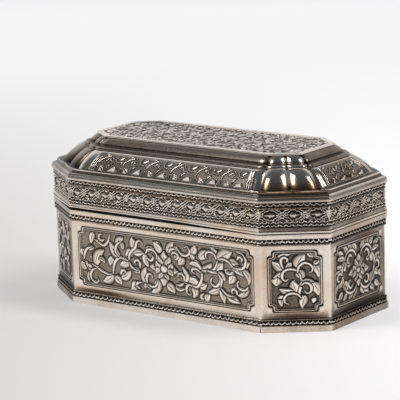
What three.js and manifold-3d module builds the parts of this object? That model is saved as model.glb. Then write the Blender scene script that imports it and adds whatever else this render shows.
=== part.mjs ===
// Eight-sided silver box with a lift-off domed lid, built up from soldered sheet and strip.
// Millimetres, +Z up. The origin is the middle of the underside, and the long walls run along X.
import * as THREE from 'three';
import { mergeVertices } from 'three/addons/utils/BufferGeometryUtils.js';
import Module from 'manifold-3d';

const wasm = await Module();
wasm.setup();

// Plan of the walls
const wallLength = 160;        // over the two short walls
const wallWidth = 84.6;        // over the two long walls
const cornerAlongX = 25.5;     // how much of the length each cut corner takes
const cornerAlongY = 18.9;     // how much of the width each cut corner takes

// Sheet and clearances
const bodySheet = 0.9;
const lidSheet = 0.9;
const domeSheet = 0.9;
const baseSheet = 1.0;
const collarSheet = 0.8;
const solderGap = 0.05;        // between a strip and the wall behind it
const stripGap = 0.2;          // between one strip and the next
const seamGap = 0.3;           // between the closed lid and the rim
const collarClearance = 0.35;  // between the collar and the lid that slides over it

// Body, from the table up
const bodyHeight = 45.6;
const footBandHeight = 3.1;
const footZigzagHeight = 1.8;
const footWireHeight = 0.9;
const rimBandHeight = 2.3;
const rimZigzagHeight = 1.9;
const rimWireHeight = 1.0;
const collarRise = 4.6;        // above the rim, inside the lid
const collarDepth = 6.0;       // below the rim, inside the body

// How far each kind of strip stands out from the wall
const footBandStand = 1.15;
const rimBandStand = 1.0;
const zigzagStand = 0.95;
const wireStand = 0.75;
const wireEdge = 0.35;         // share of a half-round wire's stand that is left at its edges
const lidLipStand = 1.2;
const lidBandStand = 0.85;
const lidBandEdge = 0.5;       // share of the lid band's stand that is left at its top edge
const corniceStand = 1.5;
const corniceEase = 0.3;       // eased edges of the cornice
const footJoint = 0.3;         // open butt joint in the foot band at the front right corner

// Lid wall, from the seam up
const lidLipHeight = 1.1;
const lidBandHeight = 1.8;
const lidLowerZigzagHeight = 1.3;
const lidMiddleZigzagHeight = 1.3;
const lozengeBandHeight = 5.5;
const lidWireHeight = 0.9;
const lidUpperZigzagHeight = 1.6;
const corniceHeight = 2.1;

// Dome: how far each moulding rises, and how far it steps back towards the middle
const domeFootStand = 0.95;
const filletRise = 0.2;
const footSlopeRise = 0.8;
const footSlopeBack = 1.1;
const coveRise = 1.25;
const coveBack = 1.1;
const beadStand = 0.25;
const beadRise = 0.5;
const beadBack = 0.4;
const seatBack = 1.1;
const ovoloRise = 7.7;
const ovoloBack = 9.35;
const ovoloStraight = 0.65;    // share of straight slope in the ovolo, the rest is round
const ledgeBack = 0.7;
const ledgeRollRise = 1.4;
const ledgeRollBack = 1.3;
const upperCoveRise = 1.0;
const upperCoveBack = 2.1;
const bandRise = 2.6;
const bandBack = 3.7;
const bandStraight = 0.75;

// The two short ends of the dome stand further in than its long sides by this much more, at the
// foot and at the top of its big moulding and at the crown.
const endInsetFoot = 2.6;
const endInsetTop = 1.2;
const endInsetCrown = 0.8;
// The crown was raised by hand and sits off centre, towards the front and the right end.
const crownShiftX = 1.0;
const crownShiftY = -1.7;

// Gadroons: the rounded lobes that the grooves leave between them
const lobesPerCorner = 2;
const ovoloGroove = 1.8;       // groove depth on the big lobes
const beadGroove = 0.7;
const bandGroove = 1.2;
const longLobeRound = 5.0;     // rounding at each end of the four wide lobes
const lobeSteps = 3;           // facets in the rounding of a lobe, each side of its crest
const mouldingSteps = 4;       // facets in a quarter round
const stepRise = 0.1;          // slope of a level step between two mouldings
const beadUnderside = 0.05;

// Top plate
const plateThickness = 0.8;
const plateBevel = 0.3;
const plateMargin = 2.8;       // plain border round the chased field
const plateSink = 0.3;
const crownLip = 4.0;          // ledge in the dome that carries the plate

// Chased panels on the body
const panelEndMargin = 3.2;    // plain wall at each end of a panel
const panelTopMargin = 1.8;
const panelFootMargin = 2.8;
const panelFrameWidth = 1.1;
const panelFrameStand = 0.6;
const panelCornerX = 3.8;      // how much of a panel's corner the two scallops take
const panelCornerY = 4.8;
const panelScallop = 1.0;      // how far each scallop swells
const scallopSteps = 3;

// Lozenge band on the lid
const lozengePitch = 8.6;
const lozengeStand = 0.55;
const lozengeFill = 0.86;      // share of the pitch and the height that one lozenge covers
const lozengesAtCorner = 3;

// Depth by which a raised form is rooted in its sheet, so that the two join into one solid
const root = 0.3;

const silverColor = 0xd8d0c6;
const darkSilverColor = 0xa39a90;

// The octagon's corners, with every side moved out by offset, the two short ends moved in by
// endInset, and the corners mitred. Corner 0 is at the left end of the front, and they run
// anticlockwise seen from above.
function corners(offset, endInset = 0) {
  const length = Math.hypot(cornerAlongX, cornerAlongY);
  const nx = cornerAlongY / length;
  const ny = cornerAlongX / length;
  const reach = nx * wallLength / 2 + ny * (wallWidth / 2 - cornerAlongY) + offset;
  const x = wallLength / 2 + offset - endInset;
  const y = wallWidth / 2 + offset;
  const xCut = (reach - ny * y) / nx;
  const yCut = (reach - nx * x) / ny;
  return [
    [-xCut, -y], [xCut, -y], [x, -yCut], [x, yCut],
    [xCut, y], [-xCut, y], [-x, yCut], [-x, -yCut],
  ];
}

// Each side begins at the corner of the same number.
const sideNames = ['front', 'frontRight', 'right', 'backRight', 'back', 'backLeft', 'left', 'frontLeft'];
const sideCount = sideNames.length;
const isCornerSide = (side) => side % 2 === 1;

function sideFrame(side) {
  const ring = corners(0);
  const a = new THREE.Vector2(...ring[side]);
  const b = new THREE.Vector2(...ring[(side + 1) % sideCount]);
  const along = b.clone().sub(a);
  const length = along.length();
  along.normalize();
  return { middle: a.add(b).multiplyScalar(0.5), along, out: new THREE.Vector2(along.y, -along.x), length };
}

function geometryFrom(vertices, triangles) {
  const geometry = new THREE.BufferGeometry();
  geometry.setAttribute('position', new THREE.Float32BufferAttribute(vertices.flat(), 3));
  geometry.setIndex(triangles.flat());
  return geometry;
}

function solidFrom(geometry) {
  const bare = geometry.clone();
  bare.deleteAttribute('normal');
  bare.deleteAttribute('uv');
  const merged = mergeVertices(bare, 1e-4);
  return new wasm.Manifold(new wasm.Mesh({
    numProp: 3,
    vertProperties: new Float32Array(merged.attributes.position.array),
    triVerts: new Uint32Array(merged.index.array),
  }));
}

function geometryOf(solid) {
  const mesh = solid.getMesh();
  const geometry = new THREE.BufferGeometry();
  geometry.setAttribute('position', new THREE.BufferAttribute(new Float32Array(mesh.vertProperties), 3));
  geometry.setIndex(new THREE.BufferAttribute(new Uint32Array(mesh.triVerts), 1));
  return geometry;
}

// A strip's section, a closed list of [height, offset] points taken up its outside and down
// its inside, is carried round the octagon.
function ringStrip(section) {
  const vertices = [];
  const triangles = [];
  const size = section.length;
  for (const [height, offset] of section) {
    for (const [x, y] of corners(offset)) {
      vertices.push([x, y, height]);
    }
  }
  for (let level = 0; level < size; level++) {
    for (let side = 0; side < sideCount; side++) {
      const next = (side + 1) % sideCount;
      const low = level * sideCount;
      const high = ((level + 1) % size) * sideCount;
      triangles.push([low + side, low + next, high + next], [low + side, high + next, high + side]);
    }
  }
  return geometryFrom(vertices, triangles);
}

// The same strip left open at one corner, its two ends gap apart.
function openStrip(section, openCorner, gap) {
  const stations = section.map(([height, offset]) => {
    const ring = corners(offset).map(([x, y]) => new THREE.Vector2(x, y));
    const turned = ring.map((_, index) => ring[(openCorner + index) % sideCount]);
    const pull = (from, to) => from.clone().add(to.clone().sub(from).setLength(gap / 2));
    const first = pull(turned[0], turned[1]);
    const last = pull(turned[0], turned[sideCount - 1]);
    return [first, ...turned.slice(1), last].map((p) => [p.x, p.y, height]);
  });
  const size = section.length;
  const length = stations[0].length;
  const vertices = stations.flat();
  const triangles = [];
  for (let level = 0; level < size; level++) {
    const high = (level + 1) % size;
    for (let i = 0; i < length - 1; i++) {
      const a = level * length + i;
      const b = high * length + i;
      triangles.push([a, a + 1, b + 1], [a, b + 1, b]);
    }
  }
  for (let level = 1; level < size - 1; level++) {
    triangles.push([0, level * length, (level + 1) * length]);
    triangles.push([length - 1, (level + 2) * length - 1, (level + 1) * length - 1]);
  }
  return geometryFrom(vertices, triangles);
}

const flatSection = (low, high, inner, outer) => [
  [low, outer], [high, outer], [high, inner], [low, inner],
];

// Half-round wire with its flat side against the wall.
function wireSection(low, high, stand) {
  const section = [];
  const middle = (low + high) / 2;
  const half = (high - low) / 2;
  for (let i = 0; i <= mouldingSteps; i++) {
    const angle = Math.PI * (i / mouldingSteps - 0.5);
    const swell = wireEdge + (1 - wireEdge) * Math.cos(angle);
    section.push([middle + half * Math.sin(angle), stand * swell]);
  }
  section.push([high, solderGap], [low, solderGap]);
  return section;
}

// Rings of points at rising heights, closed by a flat cap below and above.
function loft(rings) {
  const size = rings[0].length;
  const vertices = rings.flat();
  const triangles = [];
  for (let level = 0; level < rings.length - 1; level++) {
    for (let i = 0; i < size; i++) {
      const j = (i + 1) % size;
      const low = level * size;
      const high = low + size;
      triangles.push([low + i, low + j, high + j], [low + i, high + j, high + i]);
    }
  }
  const bottom = vertices.length;
  vertices.push([0, 0, rings[0][0][2]], [0, 0, rings[rings.length - 1][0][2]]);
  const top = bottom + 1;
  const last = (rings.length - 1) * size;
  for (let i = 0; i < size; i++) {
    const j = (i + 1) % size;
    triangles.push([bottom, j, i], [top, last + i, last + j]);
  }
  return geometryFrom(vertices, triangles);
}

const octagonRing = (height, offset, endInset = 0) => (
  corners(offset, endInset).map(([x, y]) => [x, y, height])
);

// Puts a form drawn flat (x along the wall, y up, z out of it) onto one side of the box.
function ontoSide(geometry, side, height) {
  const { middle, along, out } = sideFrame(side);
  const place = new THREE.Matrix4().makeBasis(
    new THREE.Vector3(along.x, along.y, 0),
    new THREE.Vector3(0, 0, 1),
    new THREE.Vector3(out.x, out.y, 0),
  );
  place.setPosition(middle.x, middle.y, height);
  return geometry.applyMatrix4(place);
}

// Levels that several pieces share
const rimBandBottom = bodyHeight - rimBandHeight;
const rimZigzagTop = rimBandBottom - stripGap;
const rimWireTop = rimZigzagTop - rimZigzagHeight - stripGap;
const rimWireBottom = rimWireTop - rimWireHeight;
const footZigzagBottom = footBandHeight + stripGap;
const footWireBottom = footZigzagBottom + footZigzagHeight + stripGap;
const footWireTop = footWireBottom + footWireHeight;
const lidBottom = bodyHeight + seamGap;
const lidBandTop = lidBottom + lidLipHeight + lidBandHeight;
const lidLowerZigzagBottom = lidBandTop + stripGap;
const lidMiddleZigzagBottom = lidLowerZigzagBottom + lidLowerZigzagHeight + stripGap;
const lozengeBottom = lidMiddleZigzagBottom + lidMiddleZigzagHeight;
const lidWireBottom = lozengeBottom + lozengeBandHeight;
const lidUpperZigzagBottom = lidWireBottom + lidWireHeight + stripGap;
const corniceBottom = lidUpperZigzagBottom + lidUpperZigzagHeight + stripGap;
const domeBottom = corniceBottom + corniceHeight;

// Chased panel: a raised frame whose four corners are each cut back in two scallops.
function panelOutline(width, height) {
  const points = [];
  for (let corner = 0; corner < 4; corner++) {
    const sx = corner === 0 || corner === 3 ? 1 : -1;
    const sy = corner < 2 ? 1 : -1;
    const side = new THREE.Vector2(sx * width / 2, sy * (height / 2 - panelCornerY));
    const end = new THREE.Vector2(sx * (width / 2 - panelCornerX), sy * height / 2);
    const [from, to] = sx * sy > 0 ? [side, end] : [end, side];
    const outward = new THREE.Vector2(sx * panelCornerY, sy * panelCornerX).normalize();
    for (let i = 0; i <= 2 * scallopSteps; i++) {
      const share = i / (2 * scallopSteps);
      const swell = Math.abs(Math.sin(2 * Math.PI * share)) * panelScallop;
      points.push(from.clone().lerp(to, share).addScaledVector(outward, swell));
    }
  }
  return points;
}

function panelFrame(side) {
  const height = rimWireBottom - footWireTop - panelTopMargin - panelFootMargin;
  const width = sideFrame(side).length - 2 * panelEndMargin;
  const shape = new THREE.Shape(panelOutline(width, height));
  const inner = panelOutline(width - 2 * panelFrameWidth, height - 2 * panelFrameWidth);
  shape.holes.push(new THREE.Path(inner.reverse()));
  const depth = root + panelFrameStand;
  const frame = new THREE.ExtrudeGeometry(shape, { depth, bevelEnabled: false });
  frame.translate(0, 0, -root);
  return ontoSide(frame, side, footWireTop + panelFootMargin + height / 2);
}

function bodyWall() {
  let wall = solidFrom(ringStrip(flatSection(baseSheet, bodyHeight, -bodySheet, 0)));
  for (let side = 0; side < sideCount; side++) {
    wall = wall.add(solidFrom(panelFrame(side)));
  }
  return geometryOf(wall);
}

// Lid wall: a row of low four-sided points stands on each side of the lozenge band.
function lidWall() {
  let wall = solidFrom(ringStrip(flatSection(lidBottom, domeBottom, -lidSheet, 0)));
  for (let side = 0; side < sideCount; side++) {
    const { length } = sideFrame(side);
    const count = isCornerSide(side) ? lozengesAtCorner : Math.round(length / lozengePitch);
    const pitch = length / count;
    for (let i = 0; i < count; i++) {
      const point = new THREE.ConeGeometry(1, root + lozengeStand, 4);
      point.rotateX(Math.PI / 2);
      point.translate(0, 0, (lozengeStand - root) / 2);
      point.scale(lozengeFill * pitch / 2, lozengeFill * lozengeBandHeight / 2, 1);
      point.translate((i + 0.5) * pitch - length / 2, 0, 0);
      wall = wall.add(solidFrom(ontoSide(point, side, lozengeBottom + lozengeBandHeight / 2)));
    }
  }
  return geometryOf(wall);
}

// The strip round the foot of the lid: a lip at the seam, and a rounded band above it.
function lidFootSection() {
  const section = [[lidBottom, solderGap], [lidBottom, lidLipStand], [lidBottom + lidLipHeight, lidLipStand]];
  for (let i = 0; i <= mouldingSteps; i++) {
    const angle = Math.PI / 2 * i / mouldingSteps;
    const height = lidBottom + lidLipHeight + lidBandHeight * Math.sin(angle);
    const swell = lidBandEdge + (1 - lidBandEdge) * Math.cos(angle);
    section.push([height, lidBandStand * swell]);
  }
  section.push([lidBandTop, solderGap]);
  return section;
}

function corniceSection() {
  return [
    [corniceBottom, solderGap],
    [corniceBottom, corniceStand - corniceEase],
    [corniceBottom + corniceEase, corniceStand],
    [domeBottom - corniceEase, corniceStand],
    [domeBottom, corniceStand - corniceEase],
    [domeBottom, solderGap],
  ];
}

// One quarter round of the dome, from [z, offset, groove, endInset] to a point that is rise
// higher and back nearer the middle. A convex one leaves upright and ends level, and a concave
// one leaves level and ends upright. The straight share flattens it towards a plain slope.
function quarterRound(start, rise, back, convex, groove, endInset, straight = 0) {
  const points = [];
  for (let i = 1; i <= mouldingSteps; i++) {
    const t = i / mouldingSteps;
    const angle = Math.PI / 2 * t;
    const sine = straight * t + (1 - straight) * Math.sin(angle);
    const versine = straight * t + (1 - straight) * (1 - Math.cos(angle));
    const up = convex ? sine : versine;
    const away = convex ? versine : sine;
    const inset = start[3] + (endInset - start[3]) * away;
    points.push([start[0] + rise * up, start[1] - back * away, groove, inset]);
  }
  return points;
}

// The dome's outside as [z, offset, groove depth, end inset], from the cornice to the crown.
function domeOutline() {
  const profile = [[domeBottom, domeFootStand, 0, 0]];
  const last = () => profile[profile.length - 1];
  const line = (rise, back, groove, endInset) => (
    profile.push([last()[0] + rise, last()[1] - back, groove, endInset])
  );
  const round = (...shape) => profile.push(...quarterRound(last(), ...shape));
  line(filletRise, 0, 0, 0);
  line(footSlopeRise, footSlopeBack, 0, 0);
  round(coveRise, coveBack, false, beadGroove / 2, 0);
  line(beadUnderside, -beadStand, beadGroove, 0);
  round(beadRise, beadBack, true, beadGroove, 0);
  line(stepRise, seatBack, ovoloGroove, endInsetFoot);
  round(ovoloRise, ovoloBack, true, ovoloGroove, endInsetTop, ovoloStraight);
  line(stepRise, ledgeBack, bandGroove, endInsetTop);
  round(ledgeRollRise, ledgeRollBack, true, bandGroove, endInsetTop);
  round(upperCoveRise, upperCoveBack, false, bandGroove, endInsetCrown);
  round(bandRise, bandBack, true, bandGroove, endInsetCrown, bandStraight);
  return profile;
}

const domeProfile = domeOutline();
const [crownHeight, crownOffset] = domeProfile[domeProfile.length - 1];

// Moves a ring of the dome sideways by its share of the crown's shift.
function leaned(ring) {
  const share = (ring[0][2] - domeBottom) / (crownHeight - domeBottom);
  return ring.map(([x, y, z]) => [x + crownShiftX * share, y + crownShiftY * share, z]);
}

// How much of the groove's depth is left at a distance from the groove's middle: all of it
// there, and none one rounding away, with a round shoulder between.
function grooveShare(distance, rounding) {
  const flat = Math.max(0, 1 - distance / rounding);
  return 1 - Math.sqrt(1 - flat * flat);
}

// Places along one side, as [share of the side, share of the groove depth].
function lobeStations(side) {
  const stations = [];
  if (isCornerSide(side)) {
    const steps = 2 * lobeSteps;
    for (let lobe = 0; lobe < lobesPerCorner; lobe++) {
      for (let i = 0; i < steps; i++) {
        const angle = Math.PI * i / steps;
        const across = (1 - Math.cos(angle)) / 2;
        const nearest = 2 * Math.min(across, 1 - across);
        stations.push([(lobe + across) / lobesPerCorner, grooveShare(nearest, 1)]);
      }
    }
    return stations;
  }
  const { length } = sideFrame(side);
  const rounded = [];
  for (let i = 0; i <= lobeSteps; i++) {
    const across = 1 - Math.cos(Math.PI / 2 * i / lobeSteps);
    rounded.push([across * longLobeRound / length, grooveShare(across, 1)]);
  }
  stations.push(...rounded);
  for (let i = lobeSteps; i > 0; i--) {
    stations.push([1 - rounded[i][0], rounded[i][1]]);
  }
  return stations;
}

function domeRing([height, offset, groove, endInset]) {
  const ring = [];
  for (let side = 0; side < sideCount; side++) {
    for (const [share, depth] of lobeStations(side)) {
      const sunk = corners(offset - groove * depth, endInset);
      const a = sunk[side];
      const b = sunk[(side + 1) % sideCount];
      ring.push([a[0] + (b[0] - a[0]) * share, a[1] + (b[1] - a[1]) * share, height]);
    }
  }
  return leaned(ring);
}

// The dome is a shell: its inside follows the outside one sheet in, behind the grooves.
function lidDome() {
  let inset = -lidSheet;
  const inside = [octagonRing(domeBottom - domeSheet, inset)];
  for (const [height, offset, groove, endInset] of domeProfile) {
    const level = height - domeSheet;
    inset = Math.min(inset, offset - groove - domeSheet);
    if (level > domeBottom) {
      inside.push(leaned(octagonRing(level, inset, endInset)));
    }
  }
  const eye = crownOffset - crownLip;
  const opening = [crownHeight - 2 * domeSheet, crownHeight + domeSheet].map((height) => (
    octagonRing(height, eye, endInsetCrown).map(([x, y, z]) => [x + crownShiftX, y + crownShiftY, z])
  ));
  const shell = solidFrom(loft(domeProfile.map(domeRing)));
  return geometryOf(shell.subtract(solidFrom(loft(inside))).subtract(solidFrom(loft(opening))));
}

// The top plate rests on the crown, with a plain border round its slightly sunk field.
function topPlate() {
  const top = crownHeight + plateThickness;
  const levels = [
    [crownHeight, 0],
    [top - plateBevel, 0],
    [top, plateBevel],
    [top, plateMargin],
    [top - plateSink, plateMargin + plateSink],
  ];
  const plate = loft(levels.map(([height, inset]) => (
    octagonRing(height, crownOffset - inset, endInsetCrown)
  )));
  return plate.translate(crownShiftX, crownShiftY, 0);
}

const collarInner = -bodySheet - collarClearance - collarSheet;
const frontRightCorner = sideNames.indexOf('frontRight');

const bodyPieces = {
  base_plate: loft([octagonRing(0, 0), octagonRing(baseSheet, 0)]),
  body_wall: bodyWall(),
  foot_band: openStrip(flatSection(0, footBandHeight, solderGap, footBandStand), frontRightCorner, footJoint),
  foot_zigzag_wire: ringStrip(wireSection(
    footZigzagBottom, footZigzagBottom + footZigzagHeight, zigzagStand,
  )),
  foot_plain_wire: ringStrip(wireSection(footWireBottom, footWireTop, wireStand)),
  rim_plain_wire: ringStrip(wireSection(rimWireBottom, rimWireTop, wireStand)),
  rim_zigzag_wire: ringStrip(wireSection(rimZigzagTop - rimZigzagHeight, rimZigzagTop, zigzagStand)),
  rim_band: ringStrip(flatSection(rimBandBottom, bodyHeight, solderGap, rimBandStand)),
  inner_collar: ringStrip(flatSection(
    bodyHeight - collarDepth, bodyHeight + collarRise, collarInner, -bodySheet - collarClearance,
  )),
};

const lidPieces = {
  lid_foot_band: ringStrip(lidFootSection()),
  lid_lower_zigzag_wire: ringStrip(wireSection(
    lidLowerZigzagBottom, lidLowerZigzagBottom + lidLowerZigzagHeight, zigzagStand,
  )),
  lid_middle_zigzag_wire: ringStrip(wireSection(
    lidMiddleZigzagBottom, lidMiddleZigzagBottom + lidMiddleZigzagHeight, zigzagStand,
  )),
  lid_wall: lidWall(),
  lid_plain_wire: ringStrip(wireSection(lidWireBottom, lidWireBottom + lidWireHeight, wireStand)),
  lid_upper_zigzag_wire: ringStrip(wireSection(
    lidUpperZigzagBottom, lidUpperZigzagBottom + lidUpperZigzagHeight, zigzagStand,
  )),
  lid_cornice: ringStrip(corniceSection()),
  lid_dome: lidDome(),
  lid_top_plate: topPlate(),
};

function group(pieces) {
  const holder = new THREE.Group();
  for (const [name, geometry] of Object.entries(pieces)) {
    const dark = name.includes('zigzag');
    const material = new THREE.MeshStandardMaterial({
      color: dark ? darkSilverColor : silverColor,
      roughness: dark ? 0.45 : 0.3,
      metalness: 1,
    });
    const mesh = new THREE.Mesh(geometry, material);
    mesh.name = name;
    holder.add(mesh);
  }
  return holder;
}

const silverBox = new THREE.Group();
silverBox.add(group(bodyPieces), group(lidPieces));

export default silverBox;
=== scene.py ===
import bpy
import numpy as np
from mathutils import Matrix, Vector


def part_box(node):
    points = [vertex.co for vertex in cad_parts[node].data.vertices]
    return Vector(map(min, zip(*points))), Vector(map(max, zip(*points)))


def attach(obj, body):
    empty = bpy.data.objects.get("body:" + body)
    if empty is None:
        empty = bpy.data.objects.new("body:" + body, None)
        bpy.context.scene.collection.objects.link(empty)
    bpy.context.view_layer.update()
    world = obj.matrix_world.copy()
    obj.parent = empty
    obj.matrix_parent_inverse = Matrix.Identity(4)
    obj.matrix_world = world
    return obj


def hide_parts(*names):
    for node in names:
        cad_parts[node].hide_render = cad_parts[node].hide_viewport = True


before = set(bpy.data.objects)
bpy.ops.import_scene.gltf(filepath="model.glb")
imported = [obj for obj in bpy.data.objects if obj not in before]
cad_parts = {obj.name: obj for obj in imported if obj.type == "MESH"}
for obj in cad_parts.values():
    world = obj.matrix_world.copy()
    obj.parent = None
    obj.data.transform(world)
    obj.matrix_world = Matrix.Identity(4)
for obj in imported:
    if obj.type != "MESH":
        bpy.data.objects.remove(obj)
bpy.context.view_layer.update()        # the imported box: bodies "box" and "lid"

mm = 0.001               # every size below is in millimetres

# Camera: a long lens at the photograph's angle. Turn, tip and roll are degrees, the rest is mm.
view = {"turn": 36.79, "tip": 12.40, "roll": -1.73, "sideShift": -7.63, "upShift": 7.65,
        "aimHeight": 40, "distance": 1133.58, "focalPixels": 2374.4, "photoWidth": 400, "sensor": 36}


def makeCamera():
    # forward = turn about Z from +Y, then tip down; the frame is rolled about forward
    turn, tip, roll = np.radians([view["turn"], view["tip"], view["roll"]])
    forward = np.array([-np.sin(turn) * np.cos(tip), np.cos(turn) * np.cos(tip), -np.sin(tip)])
    level = np.array([np.cos(turn), np.sin(turn), 0])
    rise = np.cross(level, forward)
    right = level * np.cos(roll) + rise * np.sin(roll)
    up = rise * np.cos(roll) - level * np.sin(roll)
    aim = np.array([0, 0, view["aimHeight"]]) + level * view["sideShift"] + rise * view["upShift"]
    place = (aim - forward * view["distance"]) * mm
    data = bpy.data.cameras.new("camera")
    data.sensor_width = view["sensor"]
    data.lens = view["focalPixels"] / view["photoWidth"] * view["sensor"]
    data.clip_end = 20
    camera = bpy.data.objects.new("camera", data)
    camera.matrix_world = Matrix([[right[i], up[i], -forward[i], place[i]] for i in range(3)]
                                 + [[0, 0, 0, 1]])
    bpy.context.scene.collection.objects.link(camera)
    bpy.context.scene.camera = camera


makeCamera()
print("camera set")


# Materials
def toLinear(colour):
    # sRGB to linear: c / 12.92 when small, else ((c + 0.055) / 1.055) to the power 2.4
    srgb = np.array([int(colour[i:i + 2], 16) for i in (1, 3, 5)]) / 255
    linear = np.where(srgb <= 0.04045, srgb / 12.92, ((srgb + 0.055) / 1.055) ** 2.4)
    return (*linear.tolist(), 1.0)


def addNode(tree, kind, settings=None, values=None, links=None):
    # one node with its settings and fixed inputs; a link comes from a socket, or from the first
    # live output of a node
    node = tree.nodes.new("ShaderNode" + kind)
    for key, value in (settings or {}).items():
        setattr(node, key, value)
    for key, value in (values or {}).items():
        node.inputs[key].default_value = value
    for key, source in (links or {}).items():
        if isinstance(source, bpy.types.Node):
            source = next(socket for socket in source.outputs if socket.enabled)
        tree.links.new(source, node.inputs[key])
    return node


def clearedTree(owner):
    owner.use_nodes = True
    owner.node_tree.nodes.clear()
    return owner.node_tree


def setRamp(node, stops):
    # stops are (position, colour), placed from low to high
    band = node.color_ramp
    while len(band.elements) > 1:
        band.elements.remove(band.elements[-1])
    for index, (position, colour) in enumerate(stops):
        element = band.elements.new(position) if index else band.elements[0]
        element.position, element.color = position, toLinear(colour)


# Each finish: colours from rubbed metal to the black in the recesses, roughness of the rubbed and of
# the dark surface, mottle (how much the tarnish wanders), stain (warm sulphide bloom), and the
# planishing and scratch heights in mm.
finishes = {
    # Rolled sheet, planished and rubbed by hand: warm, soft, slightly uneven reflections
    "silverPlanishedRubbed": {"colours": ["#E9DED3", "#B7A99B", "#6C6158", "#28211C"],
                              "rough": (0.22, 0.46), "mottle": 0.34, "stain": 0.5,
                              "hammer": 0.030, "scratch": 0.006},
    # Sheet chased from the front over pitch and blackened: bright tops on a dark matted ground
    "silverChasedOxidised": {"colours": ["#F4EAE0", "#B3A597", "#645950", "#1F1915"],
                             "rough": (0.22, 0.46), "mottle": 0.24, "stain": 0.2,
                             "hammer": 0.012, "scratch": 0.010},
    # Dome raised and polished, then left to tarnish: sharp reflections, brown in the hollows
    "silverRaisedPolished": {"colours": ["#EAE1D8", "#B2A69B", "#6E6052", "#2A211A"],
                             "rough": (0.12, 0.36), "mottle": 0.36, "stain": 0.6,
                             "hammer": 0.040, "scratch": 0.004},
    # Strip crimped between dies and blackened: bright crests, nearly black pits
    "silverCrimpedOxidised": {"colours": ["#F0E5DA", "#AD9F91", "#5E534A", "#1F1915"],
                              "rough": (0.22, 0.46), "mottle": 0.30, "stain": 0.25,
                              "hammer": 0.0, "scratch": 0.006},
    # Inside faces, never rubbed: dull, evenly yellowed metal
    "silverUnpolishedInside": {"colours": ["#B7AA9A", "#978878", "#5E5145", "#2B231C"],
                               "rough": (0.42, 0.6), "mottle": 0.45, "stain": 0.5,
                               "hammer": 0.040, "scratch": 0.012},
}

# Noise patterns: mm from blot to blot, and the noise's own settings. Flecks and rubbing lines are
# finer on real silver, and are drawn coarser here to show
patterns = {"cloud": (14.0, {"Detail": 4.0, "Roughness": 0.6}), "fleck": (0.9, {"Detail": 2.0}),
            "bloom": (26.0, {"Detail": 2.0, "Distortion": 0.6}), "scratch": (0.35, {"Detail": 3.0})}
fleckShare = 0.24        # how much the flecks add to the tarnish
hammerPitch = 5.0        # mm between planishing facets
perMetre = 1000.0


def makeSilver(name, finish):
    # tarnish (with the painted shade it holds) = patina attribute + clouds + flecks; it picks the colour
    # and the roughness
    material = bpy.data.materials.new(name)
    tree = clearedTree(material)
    place = addNode(tree, "TexCoord").outputs["Object"]
    patinaAndShade, amber = [addNode(tree, "Attribute", {"attribute_name": layer}).outputs["Fac"]
                     for layer in ("patinaAndShade", "amber")]
    noise = {key: addNode(tree, "TexNoise", None, dict(values, Scale=perMetre / pitch), {"Vector": place})
             for key, (pitch, values) in patterns.items()}
    clouds, flecks = [addNode(tree, "Math", {"operation": "MULTIPLY_ADD"}, {1: size, 2: -0.5 * size},
                              {0: noise[key]})
                      for key, size in (("cloud", finish["mottle"]), ("fleck", fleckShare))]
    both = addNode(tree, "Math", {"operation": "ADD"}, None, {0: clouds, 1: flecks})
    tarnish = addNode(tree, "Math", {"operation": "ADD", "use_clamp": True}, None, {0: patinaAndShade, 1: both})
    colour = addNode(tree, "ValToRGB", None, None, {"Fac": tarnish})
    setRamp(colour, zip((0.0, 0.33, 0.66, 1.0), finish["colours"]))
    bloom = addNode(tree, "MapRange", {"clamp": True},
                    {"From Min": 0.48, "From Max": 0.72, "To Max": finish["stain"]},
                    {"Value": noise["bloom"]})
    for share, tint in ((bloom, "#EED8B4"), (amber, "#D9A868")):      # sulphide yellow, then amber
        colour = addNode(tree, "Mix", {"data_type": "RGBA", "blend_type": "MULTIPLY"},
                         {"B": toLinear(tint)}, {"Factor": share, "A": colour})
    rough = addNode(tree, "MapRange", {"clamp": True},
                    {"To Min": finish["rough"][0], "To Max": finish["rough"][1]}, {"Value": tarnish})
    hammer = addNode(tree, "TexVoronoi", {"feature": "SMOOTH_F1"},
                     {"Scale": perMetre / hammerPitch, "Smoothness": 1.0}, {"Vector": place})
    dents = addNode(tree, "Bump", None, {"Strength": 1.0, "Distance": finish["hammer"] * mm},
                    {"Height": hammer})
    lines = addNode(tree, "Bump", None, {"Strength": 1.0, "Distance": finish["scratch"] * mm},
                    {"Height": noise["scratch"], "Normal": dents})
    shader = addNode(tree, "BsdfPrincipled", None, {"Metallic": 1.0},
                     {"Base Color": colour, "Roughness": rough, "Normal": lines})
    addNode(tree, "OutputMaterial", None, None, {"Surface": shader})
    return material


silver = {name: makeSilver(name, finish) for name, finish in finishes.items()}
print("silver finishes made")


# The plan of the walls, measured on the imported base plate: an octagon with equal cut corners
def sizes(node):
    low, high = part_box(node)
    return np.array(low) / mm, np.array(high) / mm


plateLow, plateHigh = sizes("base_plate")
plan = {"halfLength": plateHigh[0], "halfWidth": plateHigh[1], "cutAlongX": 25.5, "cutAlongY": 18.9,
        "arris": 0.8}
sideCount = 8

# How dark each side is, from the front round to the front left facet: partly tarnish, partly painted light
# and shade, lightest on the front that faces the lamps, darker on the right end and on the crown's front
# band
sideTarnishAndShade = {"box": [-0.12, 0.03, 0.34, 0.16, 0.10, 0.16, 0.24, 0.44],
             "lid": [0.04, 0.12, 0.24, 0.12, 0.08, 0.12, 0.14, 0.20],
             "cornice": [0.04, 0.14, 0.10, 0.2, 0.05, 0.2, 0.1, 0.1],
             "domeFoot": [0.00, 0.04, 0.12, 0.2, 0.1, 0.2, 0.2, 0.2],
             "domeOvolo": [0.00, 0.03, 0.26, 0.2, 0.15, 0.2, 0.3, 0.42],
             "domeCrown": [0.38, 0.02, 0.50, 0.3, 0.25, 0.3, 0.35, 0.4]}

# How far each corner's edge is rubbed bright, from the front left one round
cornerRub = {"depth": np.array([0.10, 0.12, 0.18, 0.30, 0.25, 0.25, 0.30, 0.25]),
             "reach": 0.75}

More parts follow.
